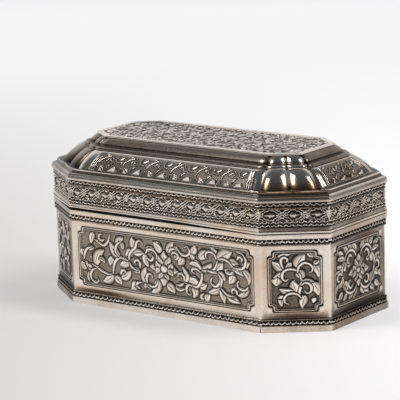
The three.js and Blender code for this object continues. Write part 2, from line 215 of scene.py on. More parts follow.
# Warm blooms: side, place along it, height, half size along and up, strength
ambers = [(0, 53, 26, 4, 13, 0.30), (1, -13.6, 28, 2.6, 12, 0.42), (1, 4, 8.5, 9, 2, 0.35),
          (2, 6, 39, 8, 2.5, 0.45), (0, -20, 8, 25, 2, 0.25), (6, -5, 22, 12, 10, 0.3),
          (4, 30, 24, 20, 10, 0.3), (1, 0, 57.8, 14, 0.8, 0.5), (0, 10, 57.8, 50, 0.8, 0.5),
          (0, -38, 7, 20, 1.2, 0.6)]

# Darker patches above the foot wires, under the rim and in two upright strips on the walls, in the same way
darkPatches = [(0, -38, 7.1, 17, 0.9, 0.60), (1, 0, 7.4, 15, 1.5, 0.52), (2, 0, 7.6, 22, 1.7, 0.50),
          (2, 2, 38.9, 20, 0.9, 0.40), (2, 21.8, 24, 1.8, 20, 0.32), (0, -53, 24, 2.4, 18, 0.14),
          (4, 20, 7.4, 30, 1.2, 0.5), (6, 4, 7.4, 16, 1.3, 0.5), (7, 0, 7.4, 14, 1.3, 0.5)]


def levels(node):
    low, high = sizes(node)
    return low[2], high[2]


def stand(node):
    # how far the node's face stands out from the end wall
    return sizes(node)[1][0] - plan["halfLength"]


def cornersOf(offset, endInset=0.0):
    # every side moved out by offset, the two ends moved in by endInset, and the corners mitred
    offset = np.asarray(offset, float)
    slope = np.hypot(plan["cutAlongX"], plan["cutAlongY"])
    nx, ny = plan["cutAlongY"] / slope, plan["cutAlongX"] / slope
    reach = nx * plan["halfLength"] + ny * (plan["halfWidth"] - plan["cutAlongY"]) + offset
    x = plan["halfLength"] + offset - endInset
    y = plan["halfWidth"] + offset
    xCut = (reach - ny * y) / nx
    yCut = (reach - nx * x) / ny
    xs = np.stack([-xCut, xCut, x, x, xCut, -xCut, -x, -x], -1)
    ys = np.stack([-y, -y, -yCut, yCut, y, y, yCut, -yCut], -1)
    return np.stack([xs, ys], -1)


basePlan = cornersOf(0.0)
nextCorner = np.roll(basePlan, -1, 0)
sideLengths = np.linalg.norm(nextCorner - basePlan, axis=1)
girth = sum(sideLengths)
sideStarts = np.cumsum(sideLengths) - sideLengths
sideAlong = (nextCorner - basePlan) / sideLengths[:, None]
sideOut = np.stack([sideAlong[:, 1], -sideAlong[:, 0]], 1)
sideMiddle = (basePlan + nextCorner) / 2
turns = np.arccos(np.clip(np.sum(sideOut * np.roll(sideOut, 1, 0), 1), -1, 1))


def columnsFrom(shares, arcSteps=0, openAt=None):
    # columns round the octagon: each side's own shares of its length, then shares of the arris turn
    # after it. An open strip starts and ends at one corner, with no arris after its last side
    order = np.roll(np.arange(sideCount), -(openAt or 0))
    turned = np.arange(1, arcSteps + 1) / (arcSteps + 1)
    k = np.concatenate([np.full(len(shares[i]) + arcSteps, i) for i in order])
    share = np.concatenate([np.append(shares[i], np.ones(arcSteps)) for i in order])
    columns = {"side": k, "share": share, "local": (share - 0.5) * sideLengths[k],
               "arc": np.concatenate([np.append(np.zeros(len(shares[i])), turned) for i in order]),
               "run": (sideStarts[k] - sideStarts[openAt or 0]) % girth + share * sideLengths[k]}
    if openAt is not None:
        columns = {key: value[:-arcSteps] for key, value in columns.items()}
    return columns


def makeColumns(step, arcSteps=4, openAt=None):
    # even shares of each side
    counts = [max(2, int(round(length / step))) for length in sideLengths]
    return columnsFrom([np.linspace(0, 1, count + 1) for count in counts], arcSteps, openAt)


def toneOf(columns, part):
    # the side's own tone, blended into the next side's across the arris and rubbed off at its edge
    tones, rub, k = np.array(sideTarnishAndShade[part]), cornerRub["depth"], columns["side"]
    after = (k + 1) % sideCount
    fromStart, fromEnd = columns["share"] * sideLengths[k], (1 - columns["share"]) * sideLengths[k]
    rubbed = (rub[k] * np.exp(-(fromStart / cornerRub["reach"]) ** 2)
              + rub[after] * np.exp(-(fromEnd / cornerRub["reach"]) ** 2))
    return tones[k] + (tones[after] - tones[k]) * columns["arc"] - rubbed


def bloomsOf(blooms, side, local, height):
    # the strongest of the soft oval blooms: strength * exp(-(along / half)^2 - (up / half)^2)
    total = np.zeros(np.broadcast(side, local, height).shape)
    for where, along, up, halfAlong, halfUp, strength in blooms:
        bloom = strength * np.exp(-((local - along) / halfAlong) ** 2 - ((height - up) / halfUp) ** 2)
        total = np.maximum(total, np.where(side == where, bloom, 0))
    return total


def ringPlace(columns, offset):
    # straight columns lie on the mitred side between its arrises; arris columns on a round
    ring = cornersOf(float(offset))
    k = columns["side"]
    after = (k + 1) % sideCount
    cut = plan["arris"] * np.tan(turns / 2)
    lengths = np.linalg.norm(np.roll(ring, -1, 0) - ring, axis=1)
    # local places are kept true to the middle of the side and only held off its two arrises
    true = lengths[k] / 2 + columns["local"]
    reach = np.clip(true, cut[k], lengths[k] - cut[after])
    spread = cut[k] + columns["share"] * (lengths[k] - cut[k] - cut[after])
    near = np.clip(np.minimum(columns["share"], 1 - columns["share"]) * sideLengths[k] / 2.0, 0, 1)
    reach = reach * near + spread * (1 - near)
    straight = ring[k] + sideAlong[k] * reach[:, None]
    turn = columns["arc"] * turns[after]
    out = sideOut[k] * np.cos(turn)[:, None] + sideAlong[k] * np.sin(turn)[:, None]
    bent = ring[after] - sideAlong[k] * cut[after][:, None] + (out - sideOut[k]) * plan["arris"]
    return np.where((columns["arc"] > 0)[:, None], bent, straight), out


def ringGrid(section, columns, lift=None, rise=None):
    # section is [height, offset] rows carried round the columns; lift adds to the offset outwards
    grid = np.zeros((len(section), len(columns["side"]), 3))
    for row, (height, offset) in enumerate(section):
        place, out = ringPlace(columns, offset)
        grid[row, :, :2] = place if lift is None else place + out * lift[row][:, None]
        grid[row, :, 2] = height if rise is None else height + rise[row]
    return grid


# Meshes
def addPiece(name, points, quads, triangles, patinaAndShade, amber, node, body, finish, slot, crease):
    loops = np.concatenate([quads.ravel(), triangles.ravel()])
    totals = np.concatenate([np.full(len(quads), 4), np.full(len(triangles), 3)])
    mesh = bpy.data.meshes.new(name)
    mesh.vertices.add(len(points))
    mesh.vertices.foreach_set("co", (points * mm).astype(np.float32).ravel())
    mesh.loops.add(len(loops))
    mesh.loops.foreach_set("vertex_index", loops.astype(np.int32))
    mesh.polygons.add(len(totals))
    mesh.polygons.foreach_set("loop_start", (np.cumsum(totals) - totals).astype(np.int32))
    mesh.polygons.foreach_set("loop_total", totals.astype(np.int32))
    mesh.update(calc_edges=True)
    mesh.validate()
    mesh.shade_smooth()
    mesh.set_sharp_from_angle(angle=np.radians(crease))
    for layer, values in (("patinaAndShade", patinaAndShade), ("amber", amber)):
        attribute = mesh.attributes.new(layer, "FLOAT", "POINT")
        attribute.data.foreach_set("value", np.ravel(values).astype(np.float32))
    mesh.materials.append(silver[finish])
    piece = bpy.data.objects.new(name, mesh)
    bpy.context.scene.collection.objects.link(piece)
    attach(piece, body)
    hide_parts(node)


def gridQuads(rows, columnCount, closeRows=False, closeColumns=False):
    # one quad between each pair of neighbours, wrapping where the grid closes on itself
    r = np.arange(rows if closeRows else rows - 1)
    c = np.arange(columnCount if closeColumns else columnCount - 1)
    r, c = np.meshgrid(r, c, indexing="ij")
    down, across = (r + 1) % rows, (c + 1) % columnCount
    return np.stack([r * columnCount + c, r * columnCount + across,
                     down * columnCount + across, down * columnCount + c], -1).reshape(-1, 4)


def ringPiece(name, grid, patinaAndShade, columns=None, amber=0.0, closed=True, **options):
    # a strip that closes on itself both ways; an open one gets a fan over each end
    rows, count = grid.shape[:2]
    if columns is not None:
        where = columns["side"], columns["local"], grid[..., 2]
        patinaAndShade = patinaAndShade + toneOf(columns, options["body"]) + bloomsOf(darkPatches, *where)
        amber = bloomsOf(ambers, *where)
    patinaAndShade = np.clip(np.broadcast_to(patinaAndShade, (rows, count)), 0, 1)
    amber = np.broadcast_to(amber, (rows, count))
    points, triangles = grid.reshape(-1, 3), np.zeros((0, 3), int)
    if not closed:
        first, last = np.arange(rows) * count, np.arange(rows) * count + count - 1
        middle = np.full(rows, len(points))
        triangles = np.concatenate([np.stack([middle, first, np.roll(first, -1)], 1),
                                    np.stack([middle + 1, np.roll(last, -1), last], 1)])
        points = np.vstack([points, grid[:, 0].mean(0), grid[:, -1].mean(0)])
        patinaAndShade, amber = np.append(patinaAndShade, [0.6, 0.6]), np.append(amber, [0, 0])
    addPiece(name, points, gridQuads(rows, count, True, closed), triangles, patinaAndShade, amber, **options)


def slabPiece(name, grid, patinaAndShade, backOf, amber=0.0, **options):
    # an open sheet with a skirt down from its edge to where backOf puts it, closed there by a fan
    rows, count = grid.shape[:2]
    edge = np.concatenate([np.arange(count), np.arange(1, rows) * count + count - 1,
                           (rows - 1) * count + np.arange(count - 2, -1, -1),
                           np.arange(rows - 2, 0, -1) * count])
    total, around = rows * count, len(edge)
    points = grid.reshape(-1, 3)
    skirt = backOf(points[edge])
    lower = total + np.arange(around)
    sides = np.stack([edge, lower, np.roll(lower, -1), np.roll(edge, -1)], 1)
    triangles = np.stack([np.full(around, total + around), np.roll(lower, -1), lower], 1)
    addPiece(name, np.vstack([points, skirt, skirt.mean(0)]), np.vstack([gridQuads(rows, count), sides]),
             triangles, np.append(patinaAndShade, np.ones(around + 1)),
             np.append(np.broadcast_to(amber, (rows, count)), np.zeros(around + 1)), **options)


def roundedSection(corners, radius, steps=3):
    # a closed [height, offset] outline with each corner turned on a short arc between two stays
    corners = np.asarray(corners, float)
    rows = []
    for i, corner in enumerate(corners):
        before = corners[i - 1] - corner
        after = corners[(i + 1) % len(corners)] - corner
        reach = min(radius, np.linalg.norm(before) * 0.45, np.linalg.norm(after) * 0.45)
        a = corner + before / np.linalg.norm(before) * reach
        b = corner + after / np.linalg.norm(after) * reach
        for t in np.linspace(0, 1, steps + 1):
            rows.append((1 - t) ** 2 * a + 2 * t * (1 - t) * corner + t * t * b)
    return np.array(rows)


def wander(run, pitch, size, seed):
    # a smooth wandering line: three sines of unlike lengths with seeded phases
    phases = np.random.default_rng(seed).uniform(0, 2 * np.pi, 3)
    waves = [max(1, round(girth / pitch / share)) for share in (1.0, 0.61, 0.37)]
    return size * sum(np.sin(2 * np.pi * wave * run / girth + phase) / (1 + index)
                      for index, (wave, phase) in enumerate(zip(waves, phases))) / 1.8


# Relief drawing. A field is a dictionary of x, y (mm on the face) and height (mm out of it).
def smoothLine(points, steps=7):
    # Catmull-Rom curve through the given points
    points = np.asarray(points, float)
    ends = np.vstack([2 * points[0] - points[1], points, 2 * points[-1] - points[-2]])
    t = np.linspace(0, 1, steps, endpoint=False)[:, None]
    parts = []
    for i in range(1, len(ends) - 2):
        a, b, c, d = ends[i - 1:i + 3]
        parts.append(0.5 * (2 * b + (c - a) * t + (2 * a - 5 * b + 4 * c - d) * t ** 2
                            + (3 * b - a - 3 * c + d) * t ** 3))
    return np.vstack(parts + [points[-1:]])


def nearest(x, y, line):
    # distance from each spot to a line, how far along it the nearest point lies (0 to 1), and the
    # side of the line the spot is on (1 left, -1 right)
    best = np.full(x.shape, 1e9)
    along = np.zeros(x.shape)
    hand = np.ones(x.shape)
    lengths = np.linalg.norm(np.diff(line, axis=0), axis=1)
    reached = np.concatenate([[0], np.cumsum(lengths)])
    for i, length in enumerate(lengths):
        dx, dy = (line[i + 1] - line[i]) / max(length, 1e-9)
        t = np.clip((x - line[i, 0]) * dx + (y - line[i, 1]) * dy, 0, length)
        gap = np.hypot(x - line[i, 0] - t * dx, y - line[i, 1] - t * dy)
        closer = gap < best
        best = np.where(closer, gap, best)
        along = np.where(closer, (reached[i] + t) / reached[-1], along)
        left = (y - line[i, 1]) * dx - (x - line[i, 0]) * dy
        hand = np.where(closer, np.sign(left), hand)
    return best, along, hand


def carve(field, line, halfWidth, top, vein=0.0, square=2.0, cut=0.34):
    # a rounded ridge along a line: top * (1 - (distance / half width) ^ square) ^ 0.5. The tool's outline
    # lowers what lies just outside it, and ink marks where the tarnish stays; on a veined leaf the ink also
    # holds painted shade on one half
    reach = halfWidth(np.linspace(0, 1, 21)).max() + cut + 0.1
    low, high = line.min(0) - reach, line.max(0) + reach
    x, y = field["x"], field["y"]
    inside = (x > low[0]) & (x < high[0]) & (y > low[1]) & (y < high[1])
    rows, columns = np.where(inside.any(1))[0], np.where(inside.any(0))[0]
    if not len(rows) or not len(columns):
        return
    part = (slice(rows[0], rows[-1] + 1), slice(columns[0], columns[-1] + 1))
    gap, along, hand = nearest(x[part], y[part], line)
    width = np.maximum(halfWidth(along), 1e-3)
    share = gap / width
    ridge = top * np.sqrt(np.maximum(1 - np.clip(share, 0, 1) ** square, 0))
    inkAndShade = 0.55 * np.clip((share - 0.55) / 0.45, 0, 1) ** 1.5 * np.clip(width / 0.6, 0.2, 1)
    if vein:
        groove = np.exp(-(gap / 0.2) ** 2) * np.sin(np.pi * np.clip(along * 1.15, 0, 1))
        ridge = ridge * (1 - vein * groove) * (1 - 0.22 * hand * np.clip(share * 2, 0, 1))
        # painted shade: one half of a veined leaf is inked darker, as if turned from the light
        inkAndShade = np.maximum(inkAndShade, 0.75 * groove) + 0.3 * np.clip(hand * share * 1.6, 0, 1)
    within = share < 1
    beside = (gap < width + cut) & ~within
    old, oldInk = field["height"][part], field["inkAndShade"][part]
    height = np.where(beside, np.minimum(old, field["ground"] + 0.12 * top), old)
    field["height"][part] = np.where(within, field["ground"] + ridge, height)
    field["inkAndShade"][part] = np.where(within, inkAndShade, np.where(beside, 1.0, oldInk))


def carveLeaf(field, leaf, top):
    # leaf is base x, base y, tip x, tip y, width, bend to the left as a share of its length. It is
    # a teardrop, full near 0.4 of its length and pointed at the tip
    x0, y0, x1, y1, width, bend = leaf
    a, b = np.array([x0, y0]), np.array([x1, y1])
    side = np.array([y0 - y1, x1 - x0])
    t = np.linspace(0, 1, 9)[:, None]
    line = (1 - t) ** 2 * a + 2 * t * (1 - t) * ((a + b) / 2 + 2 * bend * side) + t * t * b
    carve(field, line,
          lambda t: 0.58 * width * np.sin(np.pi * np.clip(t, 0, 1) ** 0.75) ** 0.8 + 0.15 * (1 - t),
          top, vein=0.3 if width > 1.9 else 0.0, square=3.4)


def carveStem(field, points, width, top):
    # a crescent: thickest before its middle and drawn thin towards the curled end
    carve(field, smoothLine(points),
          lambda t: 0.5 * width * (0.30 + 0.70 * np.sin(np.pi * np.clip(t, 0, 1) ** 0.8)),
          top, square=2.6, cut=0.3)


def drawWork(field, work, top, leafTop, width, fuller=1.0):
    for leaf in work["leaves"]:
        carveLeaf(field, leaf[:4] + (leaf[4] * fuller, leaf[5]), leafTop)
    for points in work["stems"]:
        carveStem(field, points, width, top)
    if "bead" in work:
        x, y, radius = work["bead"]
        spot = np.array([[x, y], [x + 0.01, y]])
        carve(field, spot, lambda t: radius + 0 * t, leafTop * 1.05, square=2.2)


def placed(work, along=1.0, up=1.0, x0=0.0, y0=0.0, pivot=0.0):
    # the same work stretched, or mirrored where a factor is below 0, about the pivot's height, and moved
    turn = np.sign(along * up)
    leaves = [(along * xa + x0, (ya - pivot) * up + y0, along * xb + x0, (yb - pivot) * up + y0, width,
               turn * bend) for xa, ya, xb, yb, width, bend in work["leaves"]]
    stems = [[(along * x + x0, (y - pivot) * up + y0) for x, y in points] for points in work["stems"]]
    return dict(work, leaves=leaves, stems=stems)


def newField(x, y, own, seed):
    # a sheet with punched ground: crossed waves with a wandering phase read as close round dints
    a, b, c = np.random.default_rng(seed).uniform(0, 6, 3)
    k = 2 * np.pi / own["mattingPitch"]
    warp = 1.6 * np.sin(0.9 * x + a) * np.sin(0.8 * y + b)
    dints = own["matting"] * np.sin(k * (x + 0.35 * y) + warp) * np.sin(k * (y - 0.3 * x) + warp + c)
    return {"x": x, "y": y, "height": own["ground"] + dints, "ground": own["ground"],
            "inkAndShade": np.zeros(x.shape)}


def blurred(values, reach):
    # three passes of a moving average over reach samples each way, edges held
    for _ in range(3):
        for axis in (0, 1):
            padded = np.pad(values, [(reach + 1, reach) if a == axis else (0, 0) for a in (0, 1)],
                            mode="edge")
            total = np.cumsum(padded, axis)
            size = 2 * reach + 1
            high = np.take(total, np.arange(size, total.shape[axis]), axis)
            low = np.take(total, np.arange(0, total.shape[axis] - size), axis)
            values = (high - low) / size
    return values


def softened(height, share):
    # the given share blurred by one sample, the rest as cut
    return blurred(height, 1) * share + height * (1 - share)


def shadeAndPatinaOf(field, top, step, groundTone=0.62):
    # the ground holds a middling dark; hollows and tool outlines beside raised work are the darkest, partly
    # blackening kept in them and partly painted shadow of the raised work; the rubbed tops keep only the
    # ink of their veins and edges, with the painted shade on one half of the veined leaves
    height, ground = field["height"], field["ground"]
    near = blurred(height, max(1, int(round(0.55 / step))))
    hollow = np.clip((near - height) / (0.5 * top), 0, 1)
    low = np.clip(1 - (height - ground) / (0.55 * top), 0, 1)
    onGround = low * (groundTone + 0.55 * hollow + 0.25 * field["inkAndShade"])
    return np.clip(onGround + (1 - low) * field["inkAndShade"], 0, 1)


# Chased panels. Places are mm from the panel's middle line, and mm above the table.
frontWork = {
    "bead": (0, 23, 2.05),
    "leaves": [
        (-41.3, 35.3, -43, 30.2, 2.3, -0.12), (-49, 27.2, -47.6, 23.4, 2.2, 0),
        (-45.2, 27.2, -41.3, 28.2, 1.8, 0.1), (-43.6, 24.6, -42.2, 22.8, 1.5, 0),
        (-46.7, 17.3, -49.6, 20.8, 2, 0.1), (-44.6, 17, -47.3, 21, 1.3, -0.1),
        (-45.2, 19.8, -43.2, 18.2, 1.3, 0), (-43.9, 16.4, -45.3, 11.3, 1.4, -0.12),
        (-40.2, 19.6, -35.2, 27.9, 3.2, 0.22), (-38.6, 23.3, -35.4, 21.2, 1.5, 0.3),
        (-30.4, 16.4, -36.8, 12.4, 2.8, 0.12), (-29.4, 15.6, -25.4, 12.2, 2.6, 0.1),
        (-30.2, 24.7, -31.9, 20.6, 2.4, -0.1), (-26.2, 25.3, -31.9, 32.4, 3, 0.08),
        (-27.6, 31, -23.4, 35.2, 2.6, 0.15), (-24.9, 33, -24.2, 29.2, 1.4, 0.1),
        (-18.6, 30, -22.8, 26.9, 2.8, 0.1), (-16.7, 30.8, -18.3, 36.2, 3, 0.1),
        (-17.6, 28.2, -11.2, 29, 2.4, 0.1), (-17.8, 20.8, -14, 19, 2, 0.1),
        (-20.6, 24.2, -26.2, 21.9, 2.8, 0.1), (-25.4, 15.8, -19.7, 19.8, 2.6, -0.12),
        (-16.5, 14.9, -19.6, 10.9, 2.8, 0.1), (-9.9, 14.6, -10.5, 22.6, 2.8, 0.22),
        (-4, 17.4, -7.6, 10.9, 2.9, 0.25), (-9.7, 14.6, -11.8, 12.4, 1.8, 0),
        (-9.7, 14.6, -8, 12.4, 1.8, 0), (-10.8, 29, -8.9, 22.8, 2.4, -0.1),
        (-10.2, 30.2, -6.7, 32.7, 1.9, 0.1), (-2.4, 30.4, -6.2, 35, 2.9, -0.15),
        (0, 25.2, 0.2, 31.6, 3.2, 0), (-0.5, 25.4, -3.4, 29.4, 1.8, 0.12),
        (0.5, 25.4, 3.7, 29.4, 1.8, -0.12), (0, 20.8, -0.2, 14.6, 3, 0),
        (-0.4, 20.6, -3.2, 17.9, 1.6, -0.1), (0.4, 20.6, 2.7, 18, 1.6, 0.1),
        (-2.4, 23, -8.2, 23.2, 2.6, 0), (-2.4, 23, -4.3, 26.4, 2.2, 0.1),
        (-2.4, 22.8, -4.6, 20.2, 1.8, -0.1), (2.4, 23, 8.3, 22.9, 2.8, 0),
        (2.4, 23, 4.9, 26.3, 2.2, -0.1), (2.4, 22.8, 5.2, 20.1, 2, 0.1),
        (2.5, 30.8, 5.9, 36.6, 2.6, 0.08), (10.8, 30.2, 8.5, 26, 2.9, 0.12),
        (6.2, 30.2, 8, 28.4, 1.3, 0), (15.8, 32.6, 18.4, 36.6, 2.4, -0.12),
        (18, 29.8, 11.8, 30.4, 1.7, -0.1), (17.6, 29.9, 15.4, 32, 1.8, 0),
        (21.3, 24.8, 14.7, 27, 2.3, -0.25), (19.4, 18, 13.5, 18.8, 3, -0.18),
        (11.3, 17.6, 10.3, 25.4, 2.2, -0.26), (6.8, 15.8, 11.9, 15, 2, -0.12),
        (8.6, 16.2, 11.2, 17.3, 1.4, 0), (1.6, 15.9, 6, 12, 2.8, 0.1),
        (16.2, 16.9, 16.6, 11.3, 2.4, 0.3), (20.7, 16.8, 24.7, 18.9, 2.4, 0),
        (21.2, 11.2, 23.6, 14.2, 2, 0.1), (23.8, 11.1, 26.5, 14.2, 2.2, 0.1),
        (20.8, 30.2, 26.2, 34.6, 2.8, 0.1), (21.9, 25, 27.6, 29.2, 2.4, -0.1),
        (30.4, 32, 27, 36.6, 2, -0.15), (31, 31.2, 39.5, 36, 3.8, 0.05),
        (30.2, 26.2, 34.1, 30.2, 2.7, 0), (39.9, 25.4, 37, 20.7, 2.7, 0.1),
        (37.4, 31, 43, 29.2, 2.3, 0.18), (45, 28.6, 49.2, 31.9, 2.2, 0.08),
        (40, 28.4, 45.4, 25, 2.4, 0.12), (44.9, 28.3, 48.3, 21.6, 2.1, 0.22),
        (47.8, 20.2, 41.7, 15.6, 2, 0.18), (35.8, 14.4, 43.6, 12.2, 2.7, 0.05),
        (30.8, 24.9, 35.2, 21.8, 2.6, 0.1), (32.3, 18.4, 25.2, 15.2, 2.3, 0.12),
        (32.9, 18.2, 34.6, 11, 2.4, 0),
    ],
    "stems": [
        ((-41.2, 32.4), (-38.5, 31.2), (-35.6, 30.1), (-33, 32.2), (-31.8, 35.8)),
        ((-35.2, 33.2), (-36.6, 32.3), (-38.4, 33.4), (-38, 35.2), (-36.4, 35.2)),
        ((-47.9, 22), (-47.2, 25.4), (-45.2, 27.7), (-42.4, 28.6)),
        ((-43.2, 20.2), (-40.4, 19.1), (-37.2, 17.4), (-33.6, 16.4), (-30.4, 16.9)),
        ((-40.6, 18.4), (-43, 17.1), (-44.2, 14.8), (-43.2, 12.4), (-41, 11.4), (-39.4, 12.4),
         (-40.2, 13.9)),
        ((-30.4, 16.9), (-30, 20.4), (-28.6, 23.4), (-26.2, 25.3), (-23.6, 24.9), (-20.6, 24.2)),
        ((-26.6, 25.6), (-28.6, 28.4), (-27.6, 31.4), (-25, 33.2)),
        ((-20.6, 24.2), (-20.4, 27.2), (-18.4, 29.7), (-16.6, 31.2), (-15.9, 33.6), (-14.2, 34.9),
         (-12.6, 34.2), (-12.5, 32.8)),
        ((-20.6, 24.2), (-19.4, 22.2), (-17.6, 20.9), (-15.4, 20.2)),
        ((-14.2, 21.6), (-14.2, 24.4), (-15.8, 25.4), (-17.4, 24.2), (-16.6, 22.8)),
        ((-26, 17), (-24.9, 19.2), (-23.4, 19.4), (-23.2, 17.9)),
        ((-17, 12.3), (-15.9, 14.2), (-13.4, 14.9)),
        ((-16.2, 12.8), (-14.4, 11.6)),
        ((-9.9, 14.6), (-10.5, 17.2), (-9.4, 19.4), (-7.6, 19.4), (-6.8, 17.8)),
        ((-9.9, 14.6), (-7.4, 13.6), (-4.8, 14.4), (-4, 16.6)),
        ((-10.6, 29.2), (-9.2, 31.2), (-6.4, 31.4), (-4.3, 29.6), (-4.2, 27.2)),
        ((-9.6, 27.6), (-8.6, 26.3), (-7, 26.4), (-6.3, 27.9), (-7.2, 29)),
        ((2.6, 31), (4.6, 33), (7.4, 33.4), (9.6, 31.8), (10.8, 30)),
        ((6.2, 34.4), (8.4, 33.4), (10.2, 31.4), (12.6, 30.9), (14.8, 32), (15, 34), (13.6, 35.3),
         (12.2, 34.6)),
        ((4.6, 30.6), (5.8, 31.6), (7.8, 31.2), (8.4, 29.6), (7.2, 28.4), (6, 29.2)),
        ((21.6, 25), (21.9, 22), (20.8, 18.8), (18.8, 16.8), (15.4, 17.4), (12.2, 17.8),
         (11.2, 17.6)),
        ((21.2, 24), (19.2, 25.2), (16.8, 25.2), (16.2, 23.9), (17.6, 23.2)),
        ((11.4, 18.4), (11.6, 20.6), (10, 22), (8.2, 21.6), (8, 20.2)),
        ((11.2, 17.6), (9.4, 16.4), (7, 16.4)),
        ((16.2, 16.9), (14.2, 17.2), (12.8, 15.6), (13, 13.4), (14.6, 12.5), (15.6, 13.2)),
        ((30.2, 31.2), (29.4, 33.4), (27, 34.4), (24.8, 33.8), (24.2, 32), (25.2, 31)),
        ((21.8, 24.9), (25, 25.3), (28.4, 26), (30.2, 28.4), (31, 31.2)),
        ((31, 31.2), (34.2, 31.9), (37.4, 30.8), (39.4, 28.4), (39.8, 25.4)),
        ((39.6, 26.6), (38, 25.4), (36, 25.7), (35.4, 26.9), (36.6, 27.3)),
        ((39.6, 28.4), (44.6, 28.6), (46.5, 30.8), (46.6, 33.6), (44.6, 35.7), (41.6, 35.9)),
        ((42, 32.4), (43, 34), (44.6, 33.4), (44.4, 31.6)),
        ((47.8, 20.4), (46.6, 19), (44.4, 18.7), (42.3, 19.8), (41.9, 21.6), (42.8, 22.7)),
        ((41.6, 15.8), (41.3, 17.6), (39.9, 18.5), (38.6, 17.6), (39, 16.2)),
        ((25, 25.3), (28.2, 25), (30.9, 24.9)),
        ((31.6, 23.6), (32, 20.9), (30.4, 18.7), (28.2, 18.7), (26.9, 20.2), (27.3, 21.9),
         (28.3, 22.4)),
        ((32.3, 18.4), (33.6, 17.2), (36.4, 15.2), (40.4, 14.9)),
        ((30.9, 24.9), (33, 22), (32.4, 18.4)),
    ],
}

cornerWork = {
    "leaves": [
        (-5.2, 28.7, -10.4, 33.1, 2.8, 0), (-7.6, 35.3, -1.9, 36.1, 1.3, 0.05),
        (-1.2, 32.1, -4.2, 30.2, 1.6, 0), (-5.6, 27.9, -9.9, 25.7, 1.7, 0.1),
        (-7.9, 25.4, -8.6, 21.6, 3.2, 0), (0.8, 30, 4.6, 36.2, 3.7, 0.08),
        (1.6, 29, 4.4, 24.6, 2.9, -0.05), (8.1, 31.1, 10.4, 25.2, 2.3, 0.2),
        (8.4, 31.9, 11, 33, 1.5, 0), (2.8, 23.2, 9.2, 22.4, 1.7, 0.15),
        (7.8, 22.8, 10.4, 16.7, 3, 0.12), (0.6, 18.6, -1.1, 24.2, 3.2, 0.05),
        (-0.4, 18.6, -7.3, 20.4, 2.3, 0.1), (-5.2, 17.2, -6.1, 11.9, 1.9, -0.15),
        (-5.4, 17, -8.1, 15.9, 1.2, 0), (4.6, 16.9, 3, 10.9, 2.5, -0.05),
        (8.8, 16, 7.8, 13.2, 1.3, 0), (6, 36.8, 8.4, 34.6, 1.5, 0),
    ],
    "stems": [
        ((-3, 24.9), (-4.2, 23.9), (-5.6, 25), (-5.8, 27), (-4.6, 28.8), (-2, 29.4), (0.8, 28.6),
         (2.4, 26.2), (2.8, 23.4)),
        ((-3.6, 32.6), (-3.4, 34), (-4.6, 34.9), (-6, 34.3), (-6.2, 32), (-5.2, 29.6)),
        ((1.2, 27.6), (1.8, 30.4), (4, 32.1), (6.6, 31.6), (8, 29.8), (7.6, 28), (6.4, 27.6)),
        ((2.8, 23.4), (2.4, 20.6), (1.8, 18.2), (2.5, 15.8)),
        ((2.9, 21.6), (4.4, 22.9), (6.4, 22.3), (7.4, 20.4), (6.8, 18.5), (5.2, 18), (4.2, 19.2)),
        ((2.5, 15.8), (1.2, 17.4), (-1.4, 18.1), (-3.9, 17.4), (-5.1, 15.6), (-4.6, 13.7), (-3.2, 13.1)),
    ],
}

endHalf = {
    "leaves": [
        (0.3, 25.2, 3, 29.2, 1.6, -0.1), (0.3, 21.6, 2.8, 18.2, 1.6, 0.1),
        (2, 23.4, 8.6, 22.8, 2.7, 0), (2, 23.6, 4.6, 26.2, 1.9, -0.1),
        (2, 23, 4.4, 20.2, 1.8, 0.1), (11.4, 29.8, 10.8, 25, 3.1, 0.1),
        (7, 28.4, 8.8, 26.2, 2, 0), (2.2, 33, 5.2, 36.4, 2.2, 0.1),
        (9.4, 33.2, 12.4, 36.4, 2, 0.1), (5.8, 34.2, 8.6, 36.8, 1.7, 0),
        (9.4, 16, 13.8, 19.8, 3.1, 0.1), (1.4, 15.2, 4.4, 11, 2.4, 0.1),
        (4.2, 13.6, 8.4, 11.2, 2, 0.1), (9.6, 13.8, 12.8, 11.2, 1.9, 0.1),
        (13.6, 26.8, 17.8, 28.6, 2.3, -0.1), (15.4, 24.8, 18.8, 25.8, 1.8, 0),
        (12.8, 20.4, 17, 17.6, 2.4, 0.1), (13.2, 31.4, 16.8, 35, 2.3, 0.1),
        (11.6, 30.4, 17.4, 31.2, 1.8, 0.1), (13.6, 15.6, 17.8, 13, 2.3, -0.1),
        (16.8, 19.6, 18.9, 16.2, 1.7, 0.1),
    ],
    "stems": [
        ((1.6, 30.4), (3.6, 33), (7, 34), (10.2, 32.4), (11.4, 29.4)),
        ((5, 30.4), (6.8, 31.8), (8.8, 30.4), (8.6, 28.4), (7, 28)),
        ((1.6, 17), (3.6, 14.6), (6.8, 13.8), (10, 15.2), (11.4, 18.2)),
        ((5, 17.6), (6.6, 16.2), (8.4, 17.6), (8, 19.6), (6.4, 19.8)),
        ((11.4, 29.4), (13.6, 26.6), (13.4, 23.4), (12.6, 20.6), (11.4, 18.2)),
        ((13.4, 23.4), (15.6, 24.8), (17.4, 23.4), (17, 21.4), (15.4, 21.2)),
    ],
}
endMirror = placed(endHalf, -1)
endWork = {
    "bead": (0, 23.4, 1.5),
    "leaves": [(0.0, 25.0, 0.0, 31.2, 3.2, 0.0), (0.0, 21.8, 0.0, 15.6, 3.0, 0.0)]
    + endHalf["leaves"] + endMirror["leaves"],
    "stems": endHalf["stems"] + endMirror["stems"],
}

